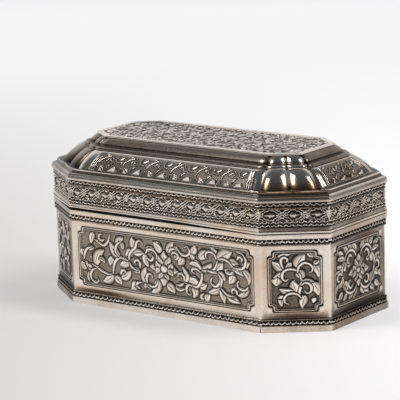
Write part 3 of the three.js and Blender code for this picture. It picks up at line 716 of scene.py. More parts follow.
panel = {
    "endMargin": 3.2, "topMargin": 1.8, "footMargin": 2.8,   # plain wall round each panel
    "cornerX": 4.6, "cornerY": 5.4, "lobe": 1.05,           # the two lobes that cut each corner
    "ridge": 0.36, "frameLines": [(0.75, 0.24, 0.06), (1.62, 0.06, 0.32)], "workInset": 1.3,
    "groove": -0.24, "grooveWidth": 0.36,
    "ground": -0.26, "groundTone": [0.54, 0.62, 0.60, 0.62] * 2, "stemTop": 0.46, "leafTop": 0.52,
    "stemWidth": 1.48, "fuller": 1.42,                       # leaves are this much wider than drawn
    "matting": 0.07, "mattingPitch": 0.85,                   # punch marks in the ground
    "echo": 0.02, "echoTone": 0.05, "echoPitch": 1.05,       # and lines that echo the work's edges
    "echoLimit": 0.12,                                       # which die away this high on the work
    "plainReach": 0.1, "grooveReach": 0.3, "plainTone": 0.05, "grooveTone": 0.85, "frameInk": 0.6,
    "tarnishTop": 0.6, "sideShare": 0.5, "soften": 0.35,
    "step": 0.23, "back": -0.6, "dish": 0.10, "seed": 20,
}
panelFoot = levels("foot_plain_wire")[1] + panel["footMargin"]
panelHead = levels("rim_plain_wire")[0] - panel["topMargin"]


def panelOutline(width, low, high):
    # a rectangle whose corners are cut by two lobes each: chord plus |sin| of one full turn
    points = []
    middle, half = (low + high) / 2, (high - low) / 2
    t = np.linspace(0, 1, 25)[:, None]
    for corner in range(4):
        sx = 1 if corner in (0, 3) else -1
        sy = 1 if corner < 2 else -1
        side = np.array([sx * width / 2, middle + sy * (half - panel["cornerY"])])
        end = np.array([sx * (width / 2 - panel["cornerX"]), middle + sy * half])
        a, b = (side, end) if sx * sy > 0 else (end, side)
        out = np.array([sx * panel["cornerY"], sy * panel["cornerX"]])
        out = out / np.linalg.norm(out)
        points.append(a + (b - a) * t + out * np.abs(np.sin(2 * np.pi * t)) * panel["lobe"])
    return np.vstack(points)


def insetOf(x, y, outline):
    # distance to a closed outline, positive inside it, by the crossing rule
    closed = np.vstack([outline, outline[:1]])
    gap, _, _ = nearest(x, y, closed)
    inside = np.zeros(x.shape, bool)
    for (x0, y0), (x1, y1) in zip(closed[:-1], closed[1:]):
        if y0 != y1:
            crosses = ((y0 > y) != (y1 > y)) & (x < (x1 - x0) * (y - y0) / (y1 - y0) + x0)
            inside ^= crosses
    return np.where(inside, gap, -gap)


def echoes(field, step, pitch, seed):
    # tool lines that follow the work round: a wave of the distance to the nearest raised metal,
    # grown outwards a sample at a time, and broken up by two slow crossed waves. From -1 to 1
    far, reach = 6.0, 4.0
    gap = np.where(field["height"] > field["ground"] + panel["echoLimit"], 0.0, far)
    for _ in range(int(reach / step)):
        for axis in (0, 1):
            for way in (1, -1):
                near = np.roll(gap, way, axis)
                gap = np.minimum(gap, near + step)
        for way, across in ((1, 1), (1, -1), (-1, 1), (-1, -1)):
            gap = np.minimum(gap, np.roll(np.roll(gap, way, 0), across, 1) + 1.41 * step)
    a, b = np.random.default_rng(seed).uniform(0, 6, 2)
    x, y = field["x"], field["y"]
    drift = 1.6 * np.sin(0.9 * x + a) * np.sin(1.1 * y + b)
    broken = 0.65 + 0.35 * np.sin(2.9 * x + 1.3 * y + b) * np.sin(2.3 * y - 1.1 * x + a)
    return np.cos(2 * np.pi * gap / pitch + drift) * broken


wallLow, wallHigh = levels("body_wall")


def wallLevel(run, height):
    # how far the planished wall wanders inwards between its foot and its rim
    share = np.clip((height - wallLow) / (wallHigh - wallLow), 0, 1)
    return np.minimum(wander(run, 60, panel["dish"], 3), 0) * np.sin(np.pi * share)


def panelPiece(name, side, work, flip):
    # a full rectangle of wall: level outside the lobed outline, a groove along it, two frame lines,
    # then the work on its punched ground
    width, step, ground = sideLengths[side] - 2 * panel["endMargin"], panel["step"], panel["ground"]
    seed = panel["seed"] + side
    x, y = np.meshgrid(np.linspace(-width / 2, width / 2, int(width / step)),
                       np.linspace(panelFoot, panelHead, int((panelHead - panelFoot) / step)))
    inset = insetOf(x, y, panelOutline(width, panelFoot, panelHead))
    field = newField(x, y, panel, seed)
    drawWork(field, placed(work, -1 if flip else 1), panel["stemTop"], panel["leafTop"],
             panel["stemWidth"], panel["fuller"])
    echo = echoes(field, step, panel["echoPitch"], seed)
    echo = echo * np.clip(1 - (field["height"] - ground) / panel["echoLimit"], 0, 1)
    worked = inset > panel["workInset"]
    field["height"] = np.where(worked, field["height"] + panel["echo"] * echo, ground)
    field["inkAndShade"] = np.where(worked, field["inkAndShade"], panel["frameInk"])
    for line, top, inkAndShade in panel["frameLines"]:
        share = np.clip(1 - ((inset - line) / panel["ridge"]) ** 2, 0, 1)
        frameLine = ground + (top - ground) * np.sqrt(share)
        higher = (share > 0) & (frameLine > field["height"])
        field["height"] = np.where(higher, frameLine, field["height"])
        field["inkAndShade"] = np.where(higher, inkAndShade + 0.5 * (1 - share), field["inkAndShade"])
    groove = np.exp(-(inset / panel["grooveWidth"]) ** 2)
    plain, inGroove = inset < panel["plainReach"], inset < panel["grooveReach"]
    patinaAndShade = shadeAndPatinaOf(field, panel["tarnishTop"], step, panel["groundTone"][side])
    patinaAndShade = patinaAndShade - panel["echoTone"] * echo
    dark = panel["grooveTone"] * groove
    patinaAndShade = np.where(plain, panel["plainTone"] + dark, np.maximum(patinaAndShade, dark * inGroove))
    patinaAndShade = patinaAndShade + sideTarnishAndShade["box"][side] * panel["sideShare"] + bloomsOf(darkPatches, side, x, y) * plain
    height = softened(field["height"], panel["soften"])
    sunk = panel["groove"] * groove
    level = wallLevel(sideStarts[side] + sideLengths[side] / 2 + x, y)
    height = np.where(plain, level + sunk,
                      np.where(inGroove, np.minimum(height, sunk + 0.2 * (inset > 0.22)), height))
    middle, along, out = sideMiddle[side], sideAlong[side], sideOut[side]
    grid = np.dstack([middle + x[..., None] * along + height[..., None] * out, y])

    def backOf(points):
        # the same places along the side, sunk to the back's depth
        local = (points[:, :2] - middle) @ along
        return np.column_stack([middle + local[:, None] * along + out * panel["back"], points[:, 2]])

    slabPiece(name, grid, np.clip(patinaAndShade, 0, 1), backOf, bloomsOf(ambers, side, x, y), node="body_wall",
              body="box", finish="silverChasedOxidised", slot="chased_silver", crease=75)


sideNames = ["front", "frontRight", "right", "backRight", "back", "backLeft", "left", "frontLeft"]
sideWork = [frontWork, cornerWork, endWork, cornerWork] * 2
flippedSides = {3, 4, 6, 7}
for side, sideName in enumerate(sideNames):
    panelPiece(sideName + "Panel", side, sideWork[side], side in flippedSides)
print("chased panels made")


# Body wall: one sheet bent round, with a recess behind each panel
wallSheet = {"thickness": 0.9, "step": 1.6, "sunk": -0.55, "edge": 0.02,
             "footDark": 0.62, "footReach": 1.3, "headDark": 0.06, "headReach": 0.6,
             "rubReach": 1.1, "behindTone": 0.9}


def bodyWall():
    # the face wanders as hammered sheet does, and drops behind each panel's rectangle
    low, high, edge = wallLow, wallHigh, wallSheet["edge"]
    shares = []
    for length in sideLengths:
        half = length / 2 - panel["endMargin"]
        inner = np.linspace(-half + edge, half - edge, max(4, int(2 * half / wallSheet["step"])))
        margin = np.linspace(half, length / 2, 7)
        shares.append(np.concatenate([-margin[::-1], inner, margin]) / length + 0.5)
    columns = columnsFrom(shares, arcSteps=4)
    faceLow, faceHigh = levels("foot_plain_wire")[1] - 0.3, levels("rim_plain_wire")[0] + 0.3
    rows = np.concatenate([[low], np.linspace(faceLow, panelFoot, 8),
                           np.linspace(panelFoot + edge, panelHead - edge, 20),
                           np.linspace(panelHead, faceHigh, 6), [high]])
    half = sideLengths[columns["side"]] / 2 - panel["endMargin"]
    behind = (np.abs(columns["local"]) < half - edge / 2) & (columns["arc"] == 0)
    behind = behind & ((rows > panelFoot + edge / 2) & (rows < panelHead - edge / 2))[:, None]
    lift = np.where(behind, wallSheet["sunk"], wallLevel(columns["run"], rows[:, None]))
    section = np.vstack([np.stack([rows, np.zeros(len(rows))], 1),
                         [[high, -wallSheet["thickness"]], [low, -wallSheet["thickness"]]]])
    lift = np.vstack([lift, np.zeros((2, lift.shape[1]))])
    # darker towards the foot wire and, less, towards the rim
    edgeDarkening = (wallSheet["footDark"] * np.exp(-np.maximum(rows - faceLow, 0) / wallSheet["footReach"])
                + wallSheet["headDark"] * np.exp(-np.maximum(faceHigh - rows, 0) / wallSheet["headReach"]))
    fromCorner = np.minimum(columns["share"], 1 - columns["share"]) * sideLengths[columns["side"]]
    rubbed = np.exp(-fromCorner / wallSheet["rubReach"])
    patinaAndShade = np.zeros(lift.shape)
    patinaAndShade[:-2] = 0.05 + np.clip(edgeDarkening, 0, 0.8)[:, None] * (1 - 0.7 * rubbed) - 0.12 * rubbed
    patinaAndShade[:-2][behind] = wallSheet["behindTone"]
    # painted shade: the wall's top edge and its inside face are dark, as inside the closed box
    patinaAndShade[-3:] = [[1.0], [1.0], [0.55]]
    ringPiece("bodyWall", ringGrid(section, columns, lift), patinaAndShade, columns, node="body_wall", body="box",
              finish="silverPlanishedRubbed", slot="plain_silver", crease=60)


bodyWall()
print("body wall made")


# Plain strips: section corners eased, edges wandering a little as hand-cut strip does
stripEase = 0.22
stripColumns = makeColumns(2.0)


def stripPiece(name, node, body, section, patinaAndShade, seed, wobble=0.06, openAt=None, rise=None,
               finish="silverPlanishedRubbed"):
    # patina is one tone for each row of the section, and for each column too if it has two axes
    columns = stripColumns if openAt is None else makeColumns(2.0, openAt=openAt)
    drift = np.minimum(wander(columns["run"], 22, wobble, seed), 0)
    lift = np.where(section[:, 1:] > 0.3, drift, 0.0)
    ringPiece(name, ringGrid(section, columns, lift, rise), patinaAndShade if patinaAndShade.ndim > 1 else patinaAndShade[:, None],
              columns, closed=openAt is None, node=node, body=body, finish=finish, slot="plain_silver",
              crease=50)


def bandSection(node, inner=0.05):
    low, high = levels(node)
    outer = stand(node)
    return roundedSection([[low, outer], [high, outer], [high, inner], [low, inner]], stripEase)


section = bandSection("foot_band")       # darker near its edges, where tarnish gathers
fromEdge = np.minimum(section[:, 0] - section[:, 0].min(), section[:, 0].max() - section[:, 0])
stripPiece("footBand", "foot_band", "box", section, 0.08 + 0.14 * np.clip(1 - fromEdge / 0.5, 0, 1), 31,
           wobble=0.08, openAt=1)

# painted shadow: the rim band's inner upper edge, lying under the lid, is black
section = bandSection("rim_band")        # black on its inner upper edge, under the lid
upper = section[:, 0] > levels("rim_band")[1] - 0.05
stripPiece("rimBand", "rim_band", "box", section, np.where(upper & (section[:, 1] < 0.75), 1.0, 0.02), 32)

# painted shadow: the collar is black where it stands in the dark gap behind the rim
collar = {"thickness": 0.8, "shadowHeight": 47.2}       # black where it meets the rim, up to this height
face = stand("inner_collar")
section = np.insert(bandSection("inner_collar", face - collar["thickness"]), 4,
                    [[collar["shadowHeight"] - 0.6, face], [collar["shadowHeight"], face]], axis=0)
inShadow = (section[:, 1] > face - 0.1) & (section[:, 0] < collar["shadowHeight"] - 0.3)
stripPiece("innerCollar", "inner_collar", "box", section, np.where(inShadow, 1.0, 0.15), 35,
           finish="silverUnpolishedInside")


def wirePiece(name, node, body, patinaAndShade, seed):
    # half-round wire, offset = stand * (edge + (1 - edge) * cos of the angle over its height), with
    # faint beading from the draw plate and the solder
    low, high = levels(node)
    angle, edge = np.linspace(-np.pi / 2, np.pi / 2, 9), 0.35
    section = np.stack([(low + high) / 2 + (high - low) / 2 * np.sin(angle),
                        stand(node) * (edge + (1 - edge) * np.cos(angle))], 1)
    section = np.vstack([section, [[high, 0.05], [low, 0.05]]])
    columns = makeColumns(0.45)
    face = section[:, 1:] > 0.2
    beads = 0.05 * np.sin(2 * np.pi * columns["run"] / 1.35) + wander(columns["run"], 9, 0.05, seed)
    lift = np.where(face, np.minimum(beads - 0.04, 0), 0)
    ringPiece(name, ringGrid(section, columns, lift), np.where(face, patinaAndShade - 2.2 * beads, 0.8), columns,
              node=node, body=body, finish="silverCrimpedOxidised", slot="plain_silver", crease=60)


wirePiece("footPlainWire", "foot_plain_wire", "box", 0.34, 41)
wirePiece("rimPlainWire", "rim_plain_wire", "box", 0.40, 42)
wirePiece("lidPlainWire", "lid_plain_wire", "lid", 0.45, 43)

# The lip and rounded band at the lid's foot; the lip is bent up a little at the front left
lidFoot = {"lipHeight": 1.1, "bandStand": 0.85, "bandEdge": 0.75,
           "bandTone": [0.06, 0.48, 0.30, 0.3, 0.2, 0.3, 0.3, 0.15],    # one for each side
           "warp": 0.95, "warpEnd": 104, "warpFade": 45, "warpBefore": 22}


def lidFootBand():
    low, high = levels("lid_foot_band")
    lip = stand("lid_foot_band")
    lipTop = low + lidFoot["lipHeight"]
    angle = np.linspace(0, np.pi / 2, 9)
    offset = lidFoot["bandEdge"] + (1 - lidFoot["bandEdge"]) * np.cos(angle) ** 0.4
    rounded = np.stack([lipTop + (high - lipTop) * (0.55 * angle / angle[-1] + 0.45 * np.sin(angle)),
                        lidFoot["bandStand"] * offset], 1)
    lipRows = roundedSection([[low, lip], [lipTop, lip], [lipTop, 0.05], [low, 0.05]], 0.25)[:8]
    section = np.vstack([[[low, 0.05]], lipRows, rounded, [[high, 0.05]]])
    heights = section[:, 0]
    # the lower edge is bent up along the front's left part: warp * nearness * depth below the top
    side, ahead = stripColumns["side"], stripColumns["run"]
    near = np.where(side >= 4, np.clip(1 - (girth - ahead) / lidFoot["warpBefore"], 0, 1),
                    np.clip((lidFoot["warpEnd"] - ahead) / lidFoot["warpFade"], 0, 1))
    share = np.clip((high - heights) / (high - low), 0, 1)
    patinaAndShade = np.where((heights < lipTop - 0.1)[:, None], 0.0, np.array(lidFoot["bandTone"])[side])
    patinaAndShade[np.abs(heights - lipTop) < 0.12] += 0.3
    # painted shadow: the underside, in the gap above the rim, is black
    patinaAndShade[heights < low + 0.05] = 1.0
    stripPiece("lidFootBand", "lid_foot_band", "lid", section, patinaAndShade, 33,
               rise=lidFoot["warp"] * share[:, None] * near)


lidFootBand()

corniceLow, corniceHigh = levels("lid_cornice")
cornice = {"lip": 1.15, "topStand": 0.92, "slopeTone": 0.16}     # upright lip, then a slope inwards
lipTop = corniceLow + cornice["lip"]
section = roundedSection([[corniceLow, stand("lid_cornice")], [lipTop, stand("lid_cornice")],
                          [corniceHigh, cornice["topStand"]], [corniceHigh, 0.05],
                          [corniceLow, 0.05]], 0.30)
stripPiece("lidCornice", "lid_cornice", "lid", section,
           np.where(section[:, :1] > lipTop + 0.15, cornice["slopeTone"], 0.04)
           + np.array(sideTarnishAndShade["cornice"])[stripColumns["side"]], 34, wobble=0.10)
print("plain strips made")


# Crimped zigzag strips. For each: pitch of one wave, how scalloped it is (1) or plain sine (0), its
# rails' height, the ridge's swing and half width, how it widens where it is steep, and its tarnish
boxWave = {"pitch": 2.55, "scallop": 1.0, "rail": 0.5, "swing": 0.26, "halfWidth": 0.30, "steep": 0.7,
           "pit": 0.97, "body": "box"}
lidWave = {"pitch": 2.75, "scallop": 1.0, "rail": 0.0, "swing": 0.27, "halfWidth": 0.22, "steep": 0.5,
           "pit": 0.72, "body": "lid"}
zigzags = {
    "foot_zigzag_wire": dict(boxWave, name="footZigzag"),
    "rim_zigzag_wire": dict(boxWave, name="rimZigzag", pitch=2.35, scallop=0.8, halfWidth=0.32),
    "lid_lower_zigzag_wire": dict(lidWave, name="lidLowerZigzag"),
    "lid_middle_zigzag_wire": dict(lidWave, name="lidMiddleZigzag", scallop=0.9),
    "lid_upper_zigzag_wire": dict(lidWave, name="lidUpperZigzag", swing=0.28, halfWidth=0.26, pit=0.76),
}
zigzag = {"step": 0.22, "rows": 17, "floor": 0.22, "railWidth": 0.13, "flatness": 3.6, "uneven": 0.12,
          "shine": 1.10, "worn": 0.05}


def zigzagPiece(node, own, seed):
    # ridge middle = swing * scalloped wave; flat on top, its height falls off over its half width
    low, high = levels(node)
    tall, top = high - low, stand(node)
    columns = makeColumns(zigzag["step"], arcSteps=3)
    v = np.linspace(0, 1, zigzag["rows"])[:, None]
    run = columns["run"] + wander(columns["run"], 18, 0.35, seed)
    waves = round(girth / own["pitch"])
    phase = run * waves / girth
    cup = 1 - 2 * np.abs(np.sin(np.pi * phase))
    wave = own["scallop"] * cup + (1 - own["scallop"]) * np.cos(2 * np.pi * phase)
    spread = np.random.default_rng(seed + 100).normal(1, zigzag["uneven"], waves + 2)
    uneven = spread[np.floor(phase).astype(int)]
    gap = np.abs(v - (0.5 + own["swing"] * wave * uneven)) * tall
    slope = 1 + own["steep"] * np.abs(np.cos(np.pi * phase))
    ridge = np.sqrt(np.maximum(1 - (gap / (own["halfWidth"] * slope)) ** zigzag["flatness"], 0))
    edge = np.minimum(v, 1 - v) * tall
    rail = own["rail"] * np.sqrt(np.maximum(1 - (edge / zigzag["railWidth"]) ** 2, 0))
    share = np.maximum(ridge, rail)
    section = np.vstack([np.hstack([low + v * tall, 0 * v]), [[high, 0.05], [low, 0.05]]])
    lift = np.vstack([zigzag["floor"] + (top - zigzag["floor"]) * share, np.zeros((2, len(run)))])
    worn = zigzag["worn"] * np.random.default_rng(seed).standard_normal(len(run))
    patinaAndShade = np.clip(own["pit"] - zigzag["shine"] * share + worn, 0, 1)
    patinaAndShade = np.vstack([patinaAndShade, np.ones((2, len(run)))])
    ringPiece(own["name"], ringGrid(section, columns, lift), patinaAndShade, columns, node=node, body=own["body"],
              finish="silverCrimpedOxidised", slot="zigzag_wire_silver", crease=80)


for index, (node, own) in enumerate(zigzags.items()):
    zigzagPiece(node, own, 50 + index)
print("crimped strips made")


# Lid wall with its lozenge band: places, counts for each side, ridges as (distance, height), bosses
lozenge = {"low": 51.8, "high": 57.3, "step": 0.22, "rows": 32, "counts": np.array([13, 3, 5, 3] * 2),
           "reach": 0.5, "lines": [(0.98, 1.0), (1.42, 0.9)], "line": 0.12, "top": 0.66,
           "boss": np.array([0.76, 0.62, 0.70, 0.62] * 2), "bossTop": 0.95, "bossCurve": 0.8,
           "edge": 0.11, "edgeTop": 0.7, "cornerTop": 0.35, "thickness": 0.9}


def lidWall():
    # e = |u| / reach + |v| is 1 on a lozenge; ridges stand on it and beyond it, a pyramid inside it
    low, high = levels("lid_wall")
    columns = makeColumns(lozenge["step"], arcSteps=3)
    counts, boss = lozenge["counts"][columns["side"]], lozenge["boss"][columns["side"]]
    v = np.linspace(-1, 1, lozenge["rows"])[:, None]
    unit = columns["share"] * counts
    lean = 0.05 * np.sin(2.4 * columns["run"]) * np.sin(0.31 * columns["run"] + 1)
    height = np.zeros((lozenge["rows"], len(unit)))
    for shift in (-1, 0, 1):
        centre = np.floor(unit) + 0.5 + shift
        real = (centre > -1) & (centre < counts + 1)
        e = np.abs(unit - centre + lean) / lozenge["reach"] + np.abs(v + 0.06 * np.sin(5 * centre)) * 0.98
        raised = [rise * np.sqrt(np.maximum(1 - (np.abs(e - line) / lozenge["line"]) ** 5, 0))
                  for line, rise in lozenge["lines"]]
        raised.append(lozenge["bossTop"] * np.clip(1 - e / boss, 0, 1) ** lozenge["bossCurve"])
        height = np.maximum(height, np.where(real, np.max(raised, axis=0), 0))
    edge = np.sqrt(np.maximum(1 - ((1 - np.abs(v)) / lozenge["edge"]) ** 2, 0))
    height = np.maximum(height, lozenge["edgeTop"] * edge) * lozenge["top"]
    height = np.where(columns["arc"] > 0, lozenge["cornerTop"] * lozenge["top"], height)
    zs = (lozenge["low"] + lozenge["high"]) / 2 + v * (lozenge["high"] - lozenge["low"]) / 2
    back = -lozenge["thickness"]
    section = np.vstack([[[low, 0], [zs[0, 0] - 0.02, 0]], np.hstack([zs, 0 * zs]),
                         [[zs[-1, 0] + 0.02, 0], [high, 0], [high, back], [low, back]]])
    lift = np.zeros((len(section), len(unit)))
    lift[2:-4] = height
    field = {"height": height, "ground": 0.0, "inkAndShade": 0.05 + 0 * height}
    patinaAndShade = np.full(lift.shape, 0.9)
    patinaAndShade[2:-4] = np.where(columns["arc"] > 0, 0.05, shadeAndPatinaOf(field, lozenge["top"], lozenge["step"]))
    patinaAndShade[-2:] = 0.55
    ringPiece("lidWall", ringGrid(section, columns, lift), patinaAndShade, columns, node="lid_wall", body="lid",
              finish="silverCrimpedOxidised", slot="chased_silver", crease=80)


lidWall()
print("lozenge band made")


# Dome: mouldings from the cornice to the crown. Each row is the kind of line, how far it rises and
# steps back, the groove depth and end inset it reaches, its steps, and its tarnish.
dome = {
    "footStand": 0.95, "sheet": 0.9, "longRound": 5.5, "lobesPerCorner": 2, "lobeDepth": 1.35,
    "lobeBend": 0.78,
    "crownShift": np.array([1.0, -1.7]), "ledge": 4.0,
    "foot": [("line", 0.2, 0.0, 0.0, 0.0, 2, 0.40), ("line", 0.8, 1.1, 0.0, 0.0, 4, 0.06),
             ("hollow", 1.25, 1.1, 0.15, 0.0, 12, 0.60), ("line", 0.05, -0.25, 0.3, 0.0, 2, 0.70),
             ("line", 0.3, 0.0, 0.5, 0.0, 2, 0.0), ("round", 0.2, 0.4, 0.5, 0.0, 8, 0.0)],
    "ovolo": [("line", 0.1, 1.1, 1.8, 1.6, 3, 0.60), ("swell", 7.7, 9.35, 1.8, 1.2, 54, 0.04)],
    "crown": [("line", 0.1, 0.7, 1.2, 1.2, 3, 0.35), ("round", 1.4, 1.3, 1.2, 1.2, 12, 0.12),
              ("hollow", 1.0, 2.1, 1.2, 0.8, 12, 0.50), ("slope", 2.6, 3.7, 1.2, 0.8, 20, 0.10)],
}
domeBottom = levels("lid_cornice")[1]
crownHeight = levels("lid_top_plate")[0]


def domeRows(parts, start):
    # rows of [height, offset, groove, end inset, tarnish]; a round leaves upright, a hollow level;
    # a slope is three quarters straight and the rest round, a swell 0.65 straight
    rows = [start]
    straight = {"line": 1.0, "slope": 0.75, "swell": 0.65, "round": 0.0}
    for kind, rise, back, groove, inset, steps, tarnish in parts:
        first = rows[-1]
        for t in np.arange(1, steps + 1) / steps:
            up, away = np.sin(np.pi / 2 * t), 1 - np.cos(np.pi / 2 * t)
            if kind == "hollow":
                up, away = away, up
            else:
                up, away = straight[kind] * t + (1 - straight[kind]) * np.array([up, away])
            g = first[2] + (groove - first[2]) * t if kind == "line" else groove
            rows.append([first[0] + rise * up, first[1] - back * away, g,
                         first[3] + (inset - first[3]) * away, tarnish])
    return rows


def domeColumns(longStep, cornerSteps, roundSteps):
    # wide lobes: rounded for longRound at each end; corner lobes: shares spaced like a cosine
    shares, depths = [], []

    def groove(distance):
        # a round's fall from its crest: 1 - (1 - (bend * (1 - distance)) ^ 2) ^ 0.5, scaled to lobeDepth
        fall = 1 - np.sqrt(1 - (dome["lobeBend"] * np.clip(1 - distance, 0, 1)) ** 2)
        return dome["lobeDepth"] * fall / (1 - np.sqrt(1 - dome["lobeBend"] ** 2))

    for k, length in enumerate(sideLengths):
        if k % 2:
            lobe = np.arange(2 * cornerSteps) / (2 * cornerSteps) * dome["lobesPerCorner"]
            across = (1 - np.cos(np.pi * (lobe % 1))) / 2
            shares.append((np.floor(lobe + 1e-9) + across) / dome["lobesPerCorner"])
            depths.append(groove(2 * np.minimum(across, 1 - across)))
        else:
            end = dome["longRound"] / length
            across = 1 - np.cos(np.linspace(0, np.pi / 2, roundSteps + 1))
            flat = np.linspace(end, 1 - end, int((1 - 2 * end) * length / longStep) + 1)[1:-1]
            shares.append(np.concatenate([across * end, flat, (1 - across[::-1] * end)[:-1]]))
            depths.append(np.concatenate([groove(across), np.zeros(len(flat)), groove(across[::-1])[:-1]]))
    return dict(columnsFrom(shares), depth=np.concatenate(depths))


def octagonRow(columns, offset, inset, lean=1.0):
    # each column at its share between the mitred corners of its own octagon, moved with the crown
    ring = np.broadcast_to(cornersOf(offset, inset), (len(columns["side"]), sideCount, 2))
    k, pick = columns["side"], np.arange(len(ring))
    a, b = ring[pick, k], ring[pick, (k + 1) % sideCount]
    return a + (b - a) * columns["share"][:, None] + dome["crownShift"] * lean


def domeGrid(rows, columns):
    grid = np.zeros((len(rows), len(columns["side"]), 3))
    for r, (height, offset, groove, inset, _) in enumerate(rows):
        lean = np.clip((height - domeBottom) / (crownHeight - domeBottom), 0, 1)
        grid[r, :, :2] = octagonRow(columns, offset - groove * columns["depth"], inset, lean)
        grid[r, :, 2] = height
    return grid


def normalsOf(grid):
    # cross product of the two grid directions, the columns taken as a closed ring
    along = np.roll(grid, -1, 1) - np.roll(grid, 1, 1)
    normal = np.cross(along, np.gradient(grid, axis=0))
    return normal / np.maximum(np.linalg.norm(normal, axis=2, keepdims=True), 1e-9)


def tarnishOf(rows, columns):
    # each row's own, and more in the creases between the lobes
    creases = 0.5 * np.clip(columns["depth"] / dome["lobeDepth"], 0, 1) ** 8
    return np.array([row[4] for row in rows])[:, None] + creases


def domePiece(name, rows, columns, patinaAndShade, lift=0.0, ledge=0.0, amber=0.0):
    # outside rows, then the inside of the sheet back down, closed on itself
    grid = domeGrid(rows, columns)
    grid = grid + normalsOf(grid) * np.broadcast_to(lift, grid.shape[:2])[..., None]
    parts, marks = [grid], [patinaAndShade + np.array(sideTarnishAndShade[name])[columns["side"]]]
    insideRows = [list(row) for row in rows[::-6]]
    if insideRows[-1][0] != rows[0][0]:
        insideRows.append(list(rows[0]))
    for row in insideRows:
        row[1] -= dome["sheet"] * 1.15 + row[2] * dome["lobeDepth"]
        row[2] = 0.0
    inside = domeGrid(insideRows, columns)
    inside[1:-1, :, 2] -= 0.3
    if ledge:
        height, offset, _, inset, _ = rows[-1]
        rim = [[height - down, offset - ledge, 0.0, inset, 0.6] for down in (0, dome["sheet"])]
        parts.append(domeGrid(rim, columns))
        marks.append(np.full(parts[-1].shape[:2], 0.6))
        inside[0, :, 2] -= dome["sheet"]
    parts.append(inside)
    marks.append(np.full(inside.shape[:2], 0.55))
    whole = np.concatenate(parts)
    tint = np.zeros(whole.shape[:2])
    tint[:len(rows)] = amber
    ringPiece(name, whole, np.concatenate(marks), amber=tint, node="lid_dome", body="lid",
              finish="silverRaisedPolished", slot="polished_dome_silver", crease=55)


footRows = domeRows(dome["foot"], [domeBottom, dome["footStand"], 0.0, 0.0, 0.3])
ovoloRows = domeRows(dome["ovolo"], footRows[-1])
crownRows = domeRows(dome["crown"], ovoloRows[-1])

# Running scroll on the ovolo's four wide lobes: mm along the lobe, mm up its curve
scroll = {"pitch": 13.9, "tongueRise": 1.5, "top": 0.46, "width": 0.74, "ground": -0.14, "reedPitch": 1.15,
          "reeds": 3, "reedTop": 0.5, "edge": 0.22, "fade": 0.35, "shadeReach": 4.2, "brownReach": 4.5,
          "step": 0.24, "matting": 0.03, "mattingPitch": 0.7, "groundTone": 0.78,
          "plainEnds": {0: (8.5, 4.4), 2: (4.4, 5.6), 4: (8.5, 4.4), 6: (4.4, 5.6)},
          "browned": np.array([0, 0.6, 0, 0.2, 0, 0.2, 0, 0.15])}
scrollUnit = {
    "stems": [((0.3, 1.5), (0.0, 4.4), (1.1, 6.9), (3.9, 9.4), (5.6, 9.2), (6.2, 8.0)),
              ((9.2, 10.0), (8.5, 8.2), (9.3, 6.3), (11.5, 5.7), (12.6, 6.4)),
              ((3.4, 5.6), (4.6, 7.4), (6.0, 6.6), (5.6, 5.0), (4.6, 5.4)),
              ((6.0, 2.0), (6.8, 3.8), (8.2, 4.9))],
    "leaves": [(10.3, 7.2, 13.0, 9.2, 1.3, 0.05), (1.2, 9.6, 3.0, 10.6, 1.1, 0.0)],
    # bright pointed tongues at the foot: middle, half width at the foot, how far the tip leans, height
    "tongues": [(3.2, 1.3, -0.5, 2.9), (9.4, 2.5, 2.2, 2.6)],
}


